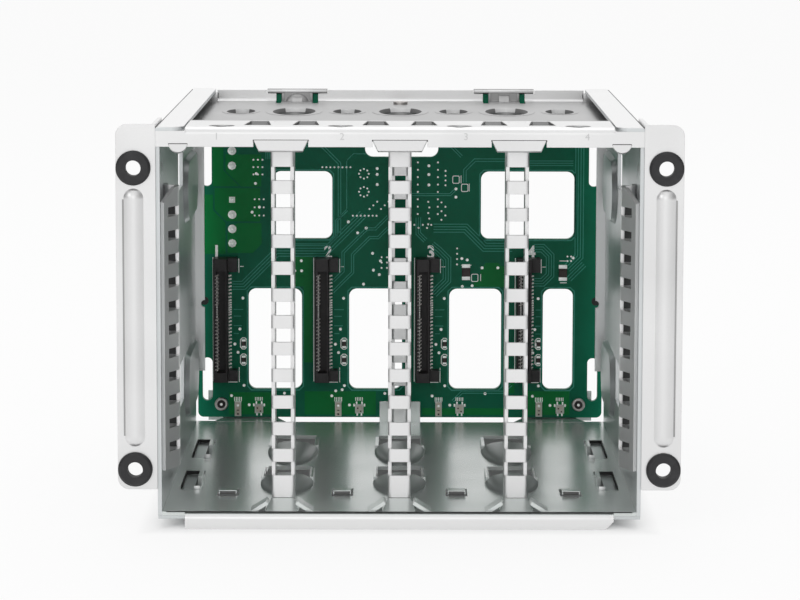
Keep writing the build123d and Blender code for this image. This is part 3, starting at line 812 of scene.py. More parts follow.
    def digits(self, name: str, places: dict[str, Vector], size: float, rise: float,
               squeeze: float = 1.0, weight: float = 0.0) -> bpy.types.Object:
        """Write plain digits on faces that look to the front.

        Args:
            name: The piece's name.
            places: The middle of each digit, in metres.
            size: Height of the type in millimetres.
            rise: Thickness of the strokes in millimetres.
            squeeze: Width of a digit against its usual width.
            weight: How far the strokes are thickened each way, in millimetres.

        Returns:
            One object that holds all the digits.
        """
        made = []
        for word, place in places.items():
            self.clear()
            bpy.ops.object.text_add(location=place, rotation=TO_FRONT)
            text = bpy.context.object
            text.data.body = word
            text.data.size = size * MM
            text.data.align_x = "CENTER"
            text.data.align_y = "CENTER"
            text.data.extrude = rise * MM / 2
            text.data.offset = weight * MM
            text.data.resolution_u = 3
            text.scale = (squeeze, 1.0, 1.0)
            bpy.ops.object.convert(target="MESH")
            bpy.ops.object.transform_apply(location=True, rotation=True, scale=True)
            made.append(bpy.context.object)
        self.clear()
        for piece in made:
            piece.select_set(True)
        bpy.context.view_layer.objects.active = made[0]
        bpy.ops.object.join()
        made[0].name = made[0].data.name = name
        self.tidy(made[0], None)
        return made[0]


def parallels(path: Sequence[Spot], count: int, pitch: float) -> list[list[Spot]]:
    """Return lines side by side that turn together, as tracks in a bundle do.

    Args:
        path: The corners of the first line.
        count: How many lines.
        pitch: Distance between neighbours, positive to the left of the path.

    Returns:
        The corners of every line.
    """
    steps = [Vector(b) - Vector(a) for a, b in zip(path, path[1:])]
    sides = [Vector((-s.y, s.x)).normalized() for s in steps]
    lines = []
    for i in range(count):
        shifted = []
        for corner, before, after in zip(path, [sides[0], *sides], [*sides, sides[-1]]):
            middle = before + after
            offset = middle * (i * pitch / max(middle.dot(after), 0.2))
            shifted.append((corner[0] + offset.x, corner[1] + offset.y))
        lines.append(shifted)
    return lines


@dataclass
class SheetWork:
    """The folded sheet metal: floor, walls, roof, guides, dividers, ears and latches."""

    bench: Bench
    finishes: Finishes
    mark_x: tuple[float, ...] = (-55.1, -17.4, 19.8, 56.3)
    divider_x: tuple[float, ...] = (-35.8, 0.0, 35.8)
    bay_x: tuple[float, ...] = BAY_X
    mark_height: float = 3.0
    mark_rise: float = 0.03
    mark_drop: float = 2.9
    slit_width: float = 0.5
    slit_rise: float = 0.02
    plate_slit: Spot = (8.4, 113.45)
    tongue_slit: Spot = (2.9, 112.3)
    tongue_x: float = 66.7
    finger_offset: float = 7.3
    collar_flare: Spot = (1.32, 1.18)
    collar_middle: Spot = (126.3, 113.35)
    guide_web: Spot = (69.95, 17.0)
    guide_first: float = 19.2
    guide_pitch: float = 7.2
    guide_count: int = 11
    ear_crease_x: float = 83.3
    ear_crease_z: Spot = (23.6, 95.6)
    wall_crease: tuple[float, float, float] = (73.15, 90.0, 117.15)
    side_windows: tuple[Spot, ...] = ((38.0, 72.0), (96.0, 133.0))
    flange_middle_z: float = 114.8
    latch_x: float = 36.4
    latch_tab: float = 178.2

    def dress_nodes(self) -> None:
        """Dress every sheet metal node."""
        for node in FRAME["nodes"]:
            if node == "floor_pan":
                dress(node, self.finishes.floor)
            elif node.endswith("side_wall"):
                dress(node, self.finishes.wall)
            elif node.startswith("latch"):
                dress(node, self.finishes.spring)
            elif node == "top_plate":
                dress(node, self.finishes.roof)
            elif node.endswith(("guide_strip", "ear_bracket")) or node.startswith(("divider", "rear_post")):
                dress(node, self.finishes.sheet)

    def rail_marks(self) -> None:
        """Stamp the plain bay numbers into the front rail."""
        middle = DATUM.back(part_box("top_plate")[1]).z - self.mark_drop
        places = {str(i): DATUM.at(x, -self.mark_rise / 2, middle) for i, x in enumerate(self.mark_x, start=1)}
        piece = self.bench.digits("rail_marks", places, self.mark_height, self.mark_rise)
        self.bench.finish(piece, self.finishes.mark, Slot.ZINC)

    def rail_slits(self) -> None:
        """Draw the slits above the lead in plates and the tongues of the rail as dark lines of painted shade."""
        tongues = [side * self.tongue_x for side in SIDES]
        runs = [[(x - half, z), (x + half, z)]
                for places, (half, z) in ((self.divider_x, self.plate_slit), (tongues, self.tongue_slit))
                for x in places]
        piece = self.bench.lines("rail_slits", runs, 0.0, self.slit_width, self.slit_rise)
        self.bench.finish(piece, self.finishes.slit, Slot.ZINC)

    def roof_leaves(self) -> None:
        """Lay a dark plate of painted shade over each finger of the roof, between its two dark slits of painted shade.
        """
        bench = self.bench
        piece = bench.cube("roof_leaves", (0.0, 17.35 * MM, -0.14 * MM), (4.6, 16.1, 0.2),
                           (self.finishes.leaf, self.finishes.slit))
        bench.pick(bench.front)
        bpy.ops.transform.resize(value=(1.5, 1.0, 1.0))
        bpy.ops.transform.translate(value=(0.0, 0.0, -1.92 * MM))
        bench.block((2.3, 2.8), (8.9, 25.4), (-0.5, -0.12), 1)
        bench.pick(lambda face: bench.front(face) and face.calc_center_median().x > 2.2 * MM)
        bpy.ops.transform.translate(value=(1.25 * MM, 0.0, 0.0))
        bench.modify(piece, "MIRROR", use_axis=(True, False, False), use_bisect_axis=(True, False, False),
                     use_bisect_flip_axis=(False, False, False))
        bench.bevel(piece, 0.04)
        bench.tidy(piece)
        top = DATUM.back(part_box("left_side_wall")[1]).z
        places = [DATUM.at(x + side * self.finger_offset, 0.0, top) for x in self.divider_x for side in SIDES]
        bench.finish(bench.repeat(piece, places), self.finishes.leaf, Slot.ZINC)

    def collars(self) -> None:
        """Draw an oval collar into each window of the ceiling, its walls dark with painted shade and less dark at the
        rear.
        """
        for name, spots, wide, long in (("large_collars", self.divider_x, 7.2, 17.8),
                                        ("small_collars", self.bay_x, 4.8, 11.4)):
            piece = self.bench.begin(name, bpy.ops.mesh.primitive_circle_add, vertices=48, radius=MM,
                                     fill_type="NOTHING")
            across, along = self.collar_flare
            bpy.ops.transform.resize(value=(wide * across, long * along, 1.0), center_override=(0.0, 0.0, 0.0))
            self.bench.coat(piece, (self.finishes.roof, self.finishes.leaf, self.finishes.mark))
            for share, drop in (((1 / across, 1 / along), 0.0), ((0.97, 0.97), 0.35), ((0.95, 0.97), 1.0)):
                bpy.ops.mesh.extrude_edges_move(TRANSFORM_OT_translate={"value": (0.0, 0.0, -drop * MM)})
                bpy.ops.transform.resize(value=(*share, 1.0), center_override=(0.0, 0.0, 0.0))
            # The collar's walls take dark painted shade, and their rear part a lighter grey of painted shade.
            for slot, rear in ((1, -1.0), (2, 0.9)):
                self.bench.pick(lambda face: abs(face.normal.z) < 0.9
                                and face.calc_center_median().y > rear * long * 0.95 * MM)
                self.bench.paint(piece, slot)
            self.bench.modify(piece, "SOLIDIFY", thickness=0.06 * MM, offset=0.0)
            self.bench.tidy(piece)
            places = [DATUM.at(x, *self.collar_middle) for x in spots]
            self.bench.finish(self.bench.repeat(piece, places), self.finishes.roof, Slot.ZINC)

    def domes(self) -> None:
        """Draw the dome in front of each window of the floor, in a dark zinc of painted shade."""
        for name, middle, length in (("front_domes", 50.2, 20.2), ("rear_domes", 110.2, 27.2)):
            piece = self.bench.begin(name, bpy.ops.mesh.primitive_uv_sphere_add, segments=48, ring_count=24,
                                     radius=MM, scale=(8.45, length, 3.5))
            for ahead in ((0.0, 0.0, -1.0), (0.0, 1.0, 0.0)):
                bpy.ops.mesh.select_all(action="SELECT")
                bpy.ops.mesh.bisect(plane_co=(0.0, 0.0, 0.01 * MM), plane_no=ahead, clear_outer=True, use_fill=True)
            self.bench.tidy(piece, 40.0)
            piece = self.bench.repeat(piece, [DATUM.at(x, middle, 0.0) for x in self.divider_x])
            self.bench.finish(piece, self.finishes.dome, Slot.ZINC)

    def guide_webs(self) -> None:
        """Close the hollow behind each window of the guide strips with a dark plate of painted shade."""
        piece = self.bench.cube("guide_webs", (0.0, 0.0, 0.0), (4.6, 0.5, 3.4))
        self.bench.pick(self.bench.front)
        bpy.ops.mesh.inset(thickness=0.3 * MM, depth=-0.1 * MM)
        self.bench.tidy(piece)
        x, y = self.guide_web
        places = [DATUM.at(side * x, y, self.guide_first + self.guide_pitch * i)
                  for side in SIDES for i in range(self.guide_count)]
        self.bench.finish(self.bench.repeat(piece, places), self.finishes.leaf, Slot.ZINC)

    def creases(self) -> None:
        """Draw the creases as dark lines of painted shade: outside each ear's bead and along each wall's top edge."""
        ear = DATUM.back(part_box("left_side_wall")[0]).y
        runs = [[(side * self.ear_crease_x, z) for z in self.ear_crease_z] for side in SIDES]
        piece = self.bench.lines("ear_crease_shades", runs, ear, 0.6, 0.1)
        self.bench.finish(piece, self.finishes.spring, Slot.ZINC)
        piece = self.bench.cube("wall_crease_shades", DATUM.at(*self.wall_crease), (0.6, 178.0, 0.6))
        self.bench.mirror(piece)
        self.bench.bevel(piece, 0.1)
        self.bench.tidy(piece)
        self.bench.finish(piece, self.finishes.leaf, Slot.ZINC)

    def floor_marks(self) -> None:
        """Add the rims and slits of the side windows, the bumps' faces and the creases of the front edge; the dark
        rims, slits, faces and creases are painted shade.
        """
        bench = self.bench
        corner = DATUM.at(0.0, 0.0, 0.0) / MM
        piece = bench.cube("floor_marks", DATUM.at(35.5, 1.2, -0.02), (71.0, 1.2, 0.12),
                           (self.finishes.slit, self.finishes.sheet, self.finishes.leaf))
        # The slit and dark plate blocks are marks of painted shade; the sheet blocks are plain zinc.
        slit, sheet, leaf = range(3)
        blocks = []
        for start, end in self.side_windows:
            blocks += [((64.2, 64.9), (start + 2.0, end), (-0.9, 0.05), leaf),
                       ((64.0, 69.3), (end - 1.2, end), (-0.9, 0.06), slit),
                       ((69.0, 69.4), (start + 6.0, end), (-0.9, 0.04), slit),
                       ((62.9, 64.9), (start - 0.3, start + 0.3), (0.0, 1.3), sheet)]
        blocks += [((x + gap, x + gap + 0.55), (51.0, 67.2), (0.2, 2.1), sheet)
                   for x, gap in ((0.0, 7.05), (35.8, 7.05), (35.8, -7.6))]
        front = DATUM.back(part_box("divider_1")[0]).y
        blocks += [(x, (front - 0.04, front + 0.2), (2.1, 2.5), slit) for x in ((0.0, 3.2), (32.8, 38.8))]
        blocks += [((x - 2.5, x + 2.5), (28.86, 29.1), (0.2, 1.3), leaf) for x in self.bay_x if x > 0.0]
        for x, y, z, slot in blocks:
            bench.block(x, tuple(v + corner.y for v in y), tuple(v + corner.z for v in z), slot)
        bench.mirror(piece)
        bench.bevel(piece, 0.04)
        bench.tidy(piece)
        bench.finish(piece, self.finishes.slit, Slot.ZINC)

    def flange_ends(self) -> None:
        """Carry the rear flange of the roof on to the walls."""
        front = DATUM.back(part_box("backplane_board")[0]).y
        piece = self.bench.cube("flange_ends", (68.25 * MM, -0.65 * MM, 0.0), (7.8, 1.1, 3.0))
        self.bench.pick(lambda face: face.normal.x < -0.9)
        self.bench.pull(-0.3, 0.0, 0.0)
        bpy.ops.transform.resize(value=(1.0, 1.0, 0.9))
        self.bench.mirror(piece)
        self.bench.bevel(piece, 0.1)
        self.bench.tidy(piece)
        piece = self.bench.repeat(piece, [DATUM.at(0.0, front, self.flange_middle_z)])
        self.bench.finish(piece, self.finishes.sheet, Slot.ZINC)

    def latch_faces(self) -> None:
        """Fold the front rim of each latch's bar, set dark blocks of painted shade in the slots beside its tab, and
        press the dome into the left one's tab.
        """
        tab = self.latch_tab
        bench = self.bench
        corner = DATUM.at(0.0, 0.0, 0.0) / MM
        for side, body in zip(SIDES, (Body.LATCH_LEFT, Body.LATCH_RIGHT)):
            x = side * self.latch_x
            piece = bench.cube(f"{body.value}_face", DATUM.at(x, tab - 0.2, 116.9), (21.0, 0.5, 1.0),
                               (self.finishes.sheet, self.finishes.spring))
            # Dark blocks of painted shade in the slots on each side of the tab.
            for left in (x - 5.4, x + 4.5):
                bench.block((left, left + 0.9), (corner.y + tab - 0.3, corner.y + tab + 0.05),
                            (corner.z + 112.6, corner.z + 116.3), 1)
            if side < 0.0:
                bpy.ops.mesh.select_all(action="DESELECT")
                bpy.ops.mesh.primitive_uv_sphere_add(segments=32, ring_count=16, radius=MM,
                                                     location=DATUM.at(x, tab, 112.3), scale=(4.2, 1.6, 3.7))
                bench.paint(piece, 1)
                for place, ahead in (((x, tab, 112.2), (0.0, 0.0, -1.0)), ((x, tab + 0.1, 112.2), (0.0, 1.0, 0.0))):
                    bpy.ops.mesh.select_linked()
                    bpy.ops.mesh.bisect(plane_co=DATUM.at(*place), plane_no=ahead, clear_outer=True, use_fill=True)
            bench.bevel(piece, 0.08, angle_limit=math.radians(50.0))
            bench.tidy(piece, 40.0)
            bench.finish(piece, self.finishes.spring, Slot.ZINC, body)

    def build(self) -> None:
        """Dress the sheet metal and add its stamped marks, the dark slits and finger plates of painted shade, and its
        latch faces.
        """
        self.dress_nodes()
        self.rail_marks()
        self.rail_slits()
        self.roof_leaves()
        self.collars()
        self.flange_ends()
        self.domes()
        self.guide_webs()
        self.creases()
        self.floor_marks()
        self.latch_faces()


@dataclass
class Backplane:
    """The circuit board with its tracks, vias, joints, print and small parts."""

    bench: Bench
    finishes: Finishes
    face: float = field(default_factory=lambda: DATUM.back(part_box("backplane_board")[0]).y)
    bay_x: tuple[float, ...] = BAY_X
    digit_x: tuple[float, ...] = (-65.2, -25.6, 10.9, 46.6)
    windows: tuple[tuple[Spot, Spot], ...] = (
        ((-53.9, -34.9), (10.5, 46.6)), ((-18.1, 0.7), (10.5, 46.6)), ((17.5, 36.0), (10.5, 46.6)),
        ((50.8, 61.5), (10.5, 46.6)), ((-45.0, -24.1), (64.4, 88.4)), ((28.6, 61.7), (64.4, 88.4)))
    last_bay_draw: float = 2.4
    notch: Spot = (69.6, 42.1)
    joint_x: float = -59.6
    joint_z: tuple[float, ...] = (62.7, 67.8, 72.9, 78.2, 90.3, 95.6, 100.7, 105.8)
    joint_radius: float = 1.5
    joint_pad: float = 0.1
    joint_steps: tuple[Spot, ...] = ((0.18, 0.84), (0.3, 0.66), (0.45, 0.74), (0.3, 0.82), (0.12, 0.6))
    track_width: float = 0.32
    track_rise: float = 0.05
    copper_rise: float = 0.035
    ink_rise: float = 0.04
    digit_z: float = 59.4
    digit_height: float = 6.4
    line_width: float = 0.26
    outline_width: float = 0.28
    outline_spots: tuple[Spot, ...] = ((19.7, 85.5), (22.8, 82.6), (26.5, 50.5))
    rim_width: float = 0.45
    rim_margin: float = 0.9
    rim_corner: float = 1.4
    resistor_spots: tuple[Spot, ...] = ((23.4, 52.6), (57.8, 52.4))
    capacitor_gap: float = -2.0
    capacitor_z: tuple[float, ...] = (21.0, 26.8)
    wrap_share: float = 0.22
    screw_z: float = 5.0
    screw_inset: float = 2.4

    copper_areas: tuple[tuple[Spot, ...], ...] = (
        ((-61.9, 94.3), (-49.2, 94.3), (-49.2, 82.9), (-56.4, 82.9), (-61.9, 88.4)),
        ((-65.8, 82.3), (-49.6, 82.3), (-49.6, 70.5), (-61.6, 70.5), (-65.8, 74.7)),
        ((-57.8, 69.9), (-49.2, 69.9), (-49.2, 62.4), (-52.4, 59.2), (-61.3, 59.2), (-61.3, 66.4)),
        ((-66.4, 101.0), (-62.6, 101.0), (-62.6, 88.6), (-57.0, 83.0), (-66.4, 83.0)),
        ((-71.0, 80.0), (-66.4, 80.0), (-66.4, 74.4), (-62.0, 70.0), (-62.0, 58.9), (-71.0, 58.9)),
        ((28.5, 52.9), (30.4, 55.9), (34.8, 55.9), (35.8, 54.7), (38.0, 54.7), (38.0, 47.2), (26.2, 47.2),
         (26.2, 49.0), (28.5, 50.4)),
        ((-38.2, 58.2), (-31.2, 58.2), (-31.2, 20.0), (-34.3, 20.0), (-34.3, 47.3), (-38.2, 47.3)),
        ((-61.0, 9.2), (-46.0, 9.2), (-46.0, 1.2), (-61.0, 1.2)),
        ((-34.0, 9.6), (-8.6, 9.6), (-8.6, 1.2), (-34.0, 1.2)),
        ((8.0, 3.6), (38.0, 3.6), (38.0, 1.2), (8.0, 1.2)),
        ((45.6, 9.8), (60.5, 9.8), (60.5, 1.2), (45.6, 1.2)),
        ((38.6, 13.8), (40.8, 13.8), (40.8, 9.0), (38.6, 9.0)),
    )

    def beside(self, x: float, gap: float) -> float:
        """Return a place beside a socket, drawn in at the last bay, where the board's window is close."""
        return x + gap - (self.last_bay_draw if x == self.bay_x[-1] else 0.0)

    def bundles(self) -> list[list[Spot]]:
        """Plan the tracks on the board's front.

        Returns:
            The corners of every track.
        """
        tracks: list[list[Spot]] = []
        plans: tuple[tuple[Sequence[Spot], int, float], ...] = (
            (((-59.6, 46.2), (-55.1, 46.2), (-43.2, 58.1), (-26.2, 58.1), (-12.2, 72.1)), 4, 0.95),
            (((-44.6, 61.9), (-25.3, 61.9), (-22.4, 64.8), (-22.4, 70.6), (-18.6, 74.4)), 2, 0.6),
            (((-24.2, 49.4), (-20.7, 52.9), (-20.7, 59.6), (-12.0, 68.3), (-9.0, 68.3), (-4.6, 72.7)), 2, -0.8),
            (((-24.2, 45.6), (-17.3, 52.5), (-17.3, 58.9), (-11.0, 65.2), (-8.0, 65.2), (-4.6, 68.6)), 2, -0.8),
            (((37.8, 92.9), (26.2, 92.9), (22.4, 89.1), (22.4, 84.6)), 2, 0.9),
            (((45.8, 90.6), (61.2, 90.6)), 3, 0.8),
            (((64.9, 97.4), (64.9, 57.6), (60.2, 52.9)), 4, -0.95),
            (((3.8, 79.8), (17.8, 79.8), (20.0, 82.0)), 2, 0.7),
            (((11.8, 66.8), (22.6, 66.8), (29.4, 60.0), (39.8, 60.0)), 4, 0.95),
            (((11.9, 63.3), (14.4, 61.3), (18.0, 57.7), (18.0, 49.0), (12.8, 43.8)), 4, -0.9),
            (((47.4, 62.5), (51.1, 62.5), (54.6, 59.0), (54.6, 51.0), (51.2, 47.6), (47.4, 47.6)), 4, -0.9),
            (((60.6, 49.4), (66.0, 54.8)), 3, 0.95),
            (((-19.0, 92.2), (-19.0, 75.0)), 1, 0.6),
            (((-19.0, 92.2), (-16.6, 94.6), (-12.2, 94.6)), 1, 0.6),
            (((-47.6, 100.2), (-47.6, 92.6)), 3, 0.7),
            (((-40.0, 97.0), (-28.0, 97.0), (-22.0, 91.0), (-22.0, 66.0)), 2, 0.9),
            (((5.6, 72.0), (5.6, 66.0), (8.4, 63.2)), 3, 0.8),
            (((39.4, 12.4), (36.8, 9.8), (22.0, 9.8), (18.6, 6.4)), 2, 0.8),
            (((14.0, 96.8), (18.0, 96.8), (21.4, 93.4)), 2, 0.8),
        )
        for path, count, pitch in plans:
            tracks += parallels(path, count, pitch)
        for x in self.bay_x:
            left = x - 12.4 + 6.9
            for z, reach in ((39.0, 3.4), (36.6, 2.6), (33.2, 3.0), (30.4, 1.8), (17.2, 2.2)):
                tracks.append([(left, z), (min(left + reach, self.beside(x, -1.3)), z)])
        return tracks

    def via_spots(self) -> list[Spot]:
        """Place the small vias on the board's front.

        Returns:
            The middle of every via.
        """
        spots: list[Spot] = [(-27.6 + 1.42 * i, 89.8) for i in range(8)]
        for z in (87.5, 81.1):
            spots += [(-12.9 + 1.7 * math.cos(math.tau * i / 8), z + 1.7 * math.sin(math.tau * i / 8))
                      for i in range(8)]
        spots += [(x, 91.6 - 2.62 * i) for x in (6.2, 13.3) for i in range(8)]
        spots += [(9.9 + 0.4 * (i % 2), 77.6 - 2.0 * i) for i in range(5)]
        spots += [(16.0, 88.6 - 1.7 * i) for i in range(4)]
        spots += [(14.6 + 1.4 * (i % 2), 77.4 - 1.55 * i) for i in range(5)]
        spots += [(-10.9 + 1.35 * i, 75.0 + 1.3 * (i % 3)) for i in range(6)]
        spots += [(-16.8 + 1.4 * i, 72.6) for i in range(7)]
        spots += [(-6.6 + 1.9 * (i % 3), 57.8 - 1.9 * (i // 3)) for i in range(9)]
        spots += [(-52.0 + 1.6 * (i % 3), 92.4 - 2.6 * (i // 3)) for i in range(9)]
        spots += [(-51.6 + 1.6 * (i % 3), 78.4 - 2.9 * (i // 3)) for i in range(9)]
        spots += [(5.0 + 1.5 * i, 69.4 - 1.1 * (i % 2)) for i in range(5)]
        spots += [(20.2, 61.0 - 1.9 * i) for i in range(4)]
        spots += [(59.4 + 1.3 * (i % 2), 56.6 + 1.6 * (i // 2)) for i in range(4)]
        return spots

    def bright_spots(self) -> list[Spot]:
        """Place the larger tinned dots on the board's front.

        Returns:
            The middle of every dot.
        """
        spots: list[Spot] = [(-8.2, 89.4), (-8.2, 87.3), (-8.2, 83.7), (10.1, 90.4), (10.1, 87.3), (10.1, 83.6),
                             (-51.0, 87.5), (-51.3, 84.0), (-49.9, 75.6), (-52.5, 73.8), (-15.1, 66.5),
                             (-12.1, 68.2), (-18.4, 70.4), (19.7, 82.2), (19.7, 79.3), (61.4, 57.7),
                             (-35.1, 56.5), (-37.4, 52.9), (-35.0, 52.9), (29.1, 54.1), (34.7, 54.1),
                             (21.9, 57.4), (23.8, 56.9), (25.6, 47.7), (22.1, 47.4), (-9.8, 59.2), (-7.0, 56.5),
                             (-9.5, 53.2), (-7.4, 51.6), (-13.0, 48.2), (-1.6, 52.0), (-20.6, 10.2), (-22.9, 9.8)]
        for x in self.bay_x:
            spots += [(self.beside(x, -2.2), 43.1), (self.beside(x, -3.3), 32.0), (x - 5.1, 26.6),
                      (self.beside(x, -4.0), 23.6), (self.beside(x, -1.9), 11.7), (x - 6.4, 8.0), (x - 0.1, 4.7)]
        spots += [(x + 12.5, 8.9) for x in self.bay_x[:-1]]
        return spots

    def capacitor_spots(self) -> list[Spot]:
        """Return the middle of every capacitor beside a socket."""
        return [(self.beside(x, self.capacitor_gap), z) for x in self.bay_x for z in self.capacitor_z]

    def lay(self, master: bpy.types.Object, spots: Iterable[Spot]) -> bpy.types.Object:
        """Repeat a piece at several x and z, in millimetres, on the board's front."""
        return self.bench.repeat(master, [DATUM.at(x, self.face, z) for x, z in spots])

    def draw(self, name: str, runs: Iterable[Sequence[Spot]], width: float, rise: float,
             material: bpy.types.Material, closed: bool = False) -> None:
        """Draw lines on the board's front and finish them.

        Args:
            name: The piece's name.
            runs: The corners of each line, as x and z in millimetres.
            width: Width of the lines in millimetres.
            rise: How far they stand proud, in millimetres.
            material: Their material.
            closed: Whether each line joins its own start.
        """
        piece = self.bench.lines(name, runs, self.face, width, rise, closed)
        self.bench.finish(piece, material, Slot.BOARD)

    def dot(self, name: str, radius: float, rise: float, sides: int) -> bpy.types.Object:
        """Model one dot with a hollow in its middle, about the frame's origin.

        Args:
            name: The piece's name.
            radius: Its radius in millimetres.
            rise: How far it stands proud, in millimetres.
            sides: Number of its sides.

        Returns:
            The object, in object mode.
        """
        piece = self.bench.disc(name, sides, radius, rise)
        self.bench.pick(self.bench.front)
        bpy.ops.mesh.inset(thickness=radius * 0.45 * MM, depth=-rise * 0.5 * MM)
        self.bench.tidy(piece)
        return piece

    def joint(self, name: str, sides: int, turn: float) -> bpy.types.Object:
        """Model one soldered pin: a pad, a concave fillet of solder and the pin's tip.

        Args:
            name: The piece's name.
            sides: Number of the pad's sides.
            turn: Its turn on the board in radians.

        Returns:
            The object, in object mode.
        """
        piece = self.bench.disc(name, sides, self.joint_radius, self.joint_pad)
        for step, share in self.joint_steps:
            self.bench.pick(self.bench.front)
            self.bench.pull(0.0, -step, 0.0)
            bpy.ops.transform.resize(value=(share, 1.0, share), center_override=(0.0, 0.0, 0.0))
        self.bench.tidy(piece, 50.0)
        piece.data.transform(Matrix.Rotation(turn, 4, "Y"))
        return piece

    def joints(self) -> None:
        """Solder the header pins through the board."""
        round_z = self.joint_z[1:3] + self.joint_z[5:]
        groups = {"round_joints": (20, 0.0, round_z),
                  "square_joints": (4, math.radians(45.0), (self.joint_z[3],)),
                  "turned_joints": (8, 0.0, (self.joint_z[0], self.joint_z[4]))}
        for name, (sides, turn, heights) in groups.items():
            piece = self.lay(self.joint(name, sides, turn), [(self.joint_x, z) for z in heights])
            self.bench.finish(piece, self.finishes.solder, Slot.CONTACT)

    def copper(self) -> None:
        """Lay the copper areas and the tracks under the mask."""
        areas = self.bench.areas("copper_areas", self.copper_areas, self.face, self.copper_rise)
        self.bench.finish(areas, self.finishes.copper, Slot.BOARD)
        self.draw("tracks", self.bundles(), self.track_width, self.track_rise, self.finishes.track)

    def vias(self) -> None:
        """Set the small vias, the larger tinned dots and the two holes at the board's edges, drawn as dark discs of
        painted shade.
        """
        for name, spots, radius, sides in (("vias", self.via_spots(), 0.34, 8),
                                           ("tinned_dots", self.bright_spots(), 0.52, 12)):
            piece = self.lay(self.dot(name, radius, 0.09, sides), spots)
            self.bench.finish(piece, self.finishes.solder, Slot.CONTACT)
        # The edge holes are dark discs of painted shade.
        x, z = self.notch
        holes = self.lay(self.dot("edge_holes", 1.5, 0.06, 20), [(side * x, z) for side in SIDES])
        self.bench.finish(holes, self.finishes.slit, Slot.BOARD)

    def print_marks(self) -> None:
        """Print the socket numbers, the parts' outlines and short lines, and rim the windows."""
        places = {str(i): DATUM.at(x, self.face - self.ink_rise / 2, self.digit_z)
                  for i, x in enumerate(self.digit_x, start=1)}
        digits = self.bench.digits("printed_digits", places, self.digit_height, self.ink_rise, 0.9, 0.2)
        self.bench.finish(digits, self.finishes.ink, Slot.BOARD)
        boxes = [self.rounded_box(x, z, 2.3, 4.0, 0.7) for x, z in self.capacitor_spots()]
        boxes += [self.rounded_box(x, z, 2.3, 2.6, 0.3) for x, z in self.outline_spots]
        self.draw("printed_outlines", boxes, self.outline_width, self.ink_rise, self.finishes.ink, closed=True)
        rims = [self.rounded_box((left + right) / 2, (low + high) / 2, right - left + self.rim_margin,
                                 high - low + self.rim_margin, self.rim_corner)
                for (left, right), (low, high) in self.windows]
        self.draw("window_rims", rims, self.rim_width, self.track_rise, self.finishes.track, closed=True)
        marks = []
        for x in self.bay_x:
            marks += [[(x - 12.8, 57.6), (x - 12.8, 13.2)], [(x - 12.4, 12.9), (x - 4.2, 12.9)],
                      [(x - 3.6, 57.2), (x - 3.6, 52.2)], [(x - 3.2, 54.4), (x - 1.9, 54.4)],
                      [(x - 3.6, 18.2), (x - 3.6, 12.9)]]
        marks += [[(21.5, 87.0), (21.5, 84.2)], [(24.4, 84.1), (24.4, 81.3)], [(28.6, 51.8), (28.6, 49.4)],
                  [(21.7, 55.0), (25.3, 55.0)], [(56.6, 56.6), (59.4, 56.6)], [(56.8, 48.8), (59.2, 48.8)]]
        self.draw("printed_lines", marks, self.line_width, self.ink_rise, self.finishes.ink)

    @staticmethod
    def rounded_box(x: float, z: float, width: float, height: float, corner: float) -> list[Spot]:
        """Outline a box with cut corners.

        Args:
            x: Its middle from left to right, in millimetres.
            z: Its middle from bottom to top, in millimetres.
            width: Its width in millimetres.
            height: Its height in millimetres.
            corner: How much of a side each cut takes, in millimetres.

        Returns:
            The corners of the outline.
        """
        half, tall = width / 2, height / 2
        return [(x - half + corner, z - tall), (x + half - corner, z - tall), (x + half, z - tall + corner),
                (x + half, z + tall - corner), (x + half - corner, z + tall), (x - half + corner, z + tall),
                (x - half, z + tall - corner), (x - half, z - tall + corner)]

    def chip(self, name: str, width: float, height: float, depth: float) -> bpy.types.Object:
        """Model one small part with a rounded body and two wrapped ends, about the frame's origin.

        Args:
            name: The piece's name.
            width: Its size from left to right, in millimetres.
            height: Its size from bottom to top, in millimetres.
            depth: How far it stands proud, in millimetres.

        Returns:
            The object, in object mode.
        """
        piece = self.bench.cube(name, (0.0, -depth * MM / 2, 0.0), (width, depth, height),
                                (self.finishes.chip, self.finishes.solder))
        edge = height * (0.5 - self.wrap_share) * MM
        for z in (edge, -edge):
            bpy.ops.mesh.select_all(action="SELECT")
            bpy.ops.mesh.bisect(plane_co=(0.0, 0.0, z), plane_no=(0.0, 0.0, 1.0))
        self.bench.pick(lambda face: abs(face.calc_center_median().z) > edge)
        self.bench.paint(piece, 1)
        self.bench.pick(lambda face: self.bench.front(face) and abs(face.calc_center_median().z) < edge)
        self.bench.pull(0.0, 0.12, 0.0)
        self.bench.bevel(piece, 0.12)
        self.bench.tidy(piece)
        return piece

    def chips(self) -> None:
        """Set the two larger chips and the capacitors beside the sockets."""
        large = self.lay(self.chip("resistors", 2.9, 5.6, 1.1), self.resistor_spots)
        self.bench.finish(large, self.finishes.chip, Slot.CAPACITOR)
        low, high = (DATUM.back(corner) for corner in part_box("board_capacitors"))
        small = self.lay(self.chip("capacitors", 1.4, 2.9, high.y - low.y), self.capacitor_spots())
        self.bench.finish(small, self.finishes.chip, Slot.CAPACITOR, replaces=("board_capacitors",))

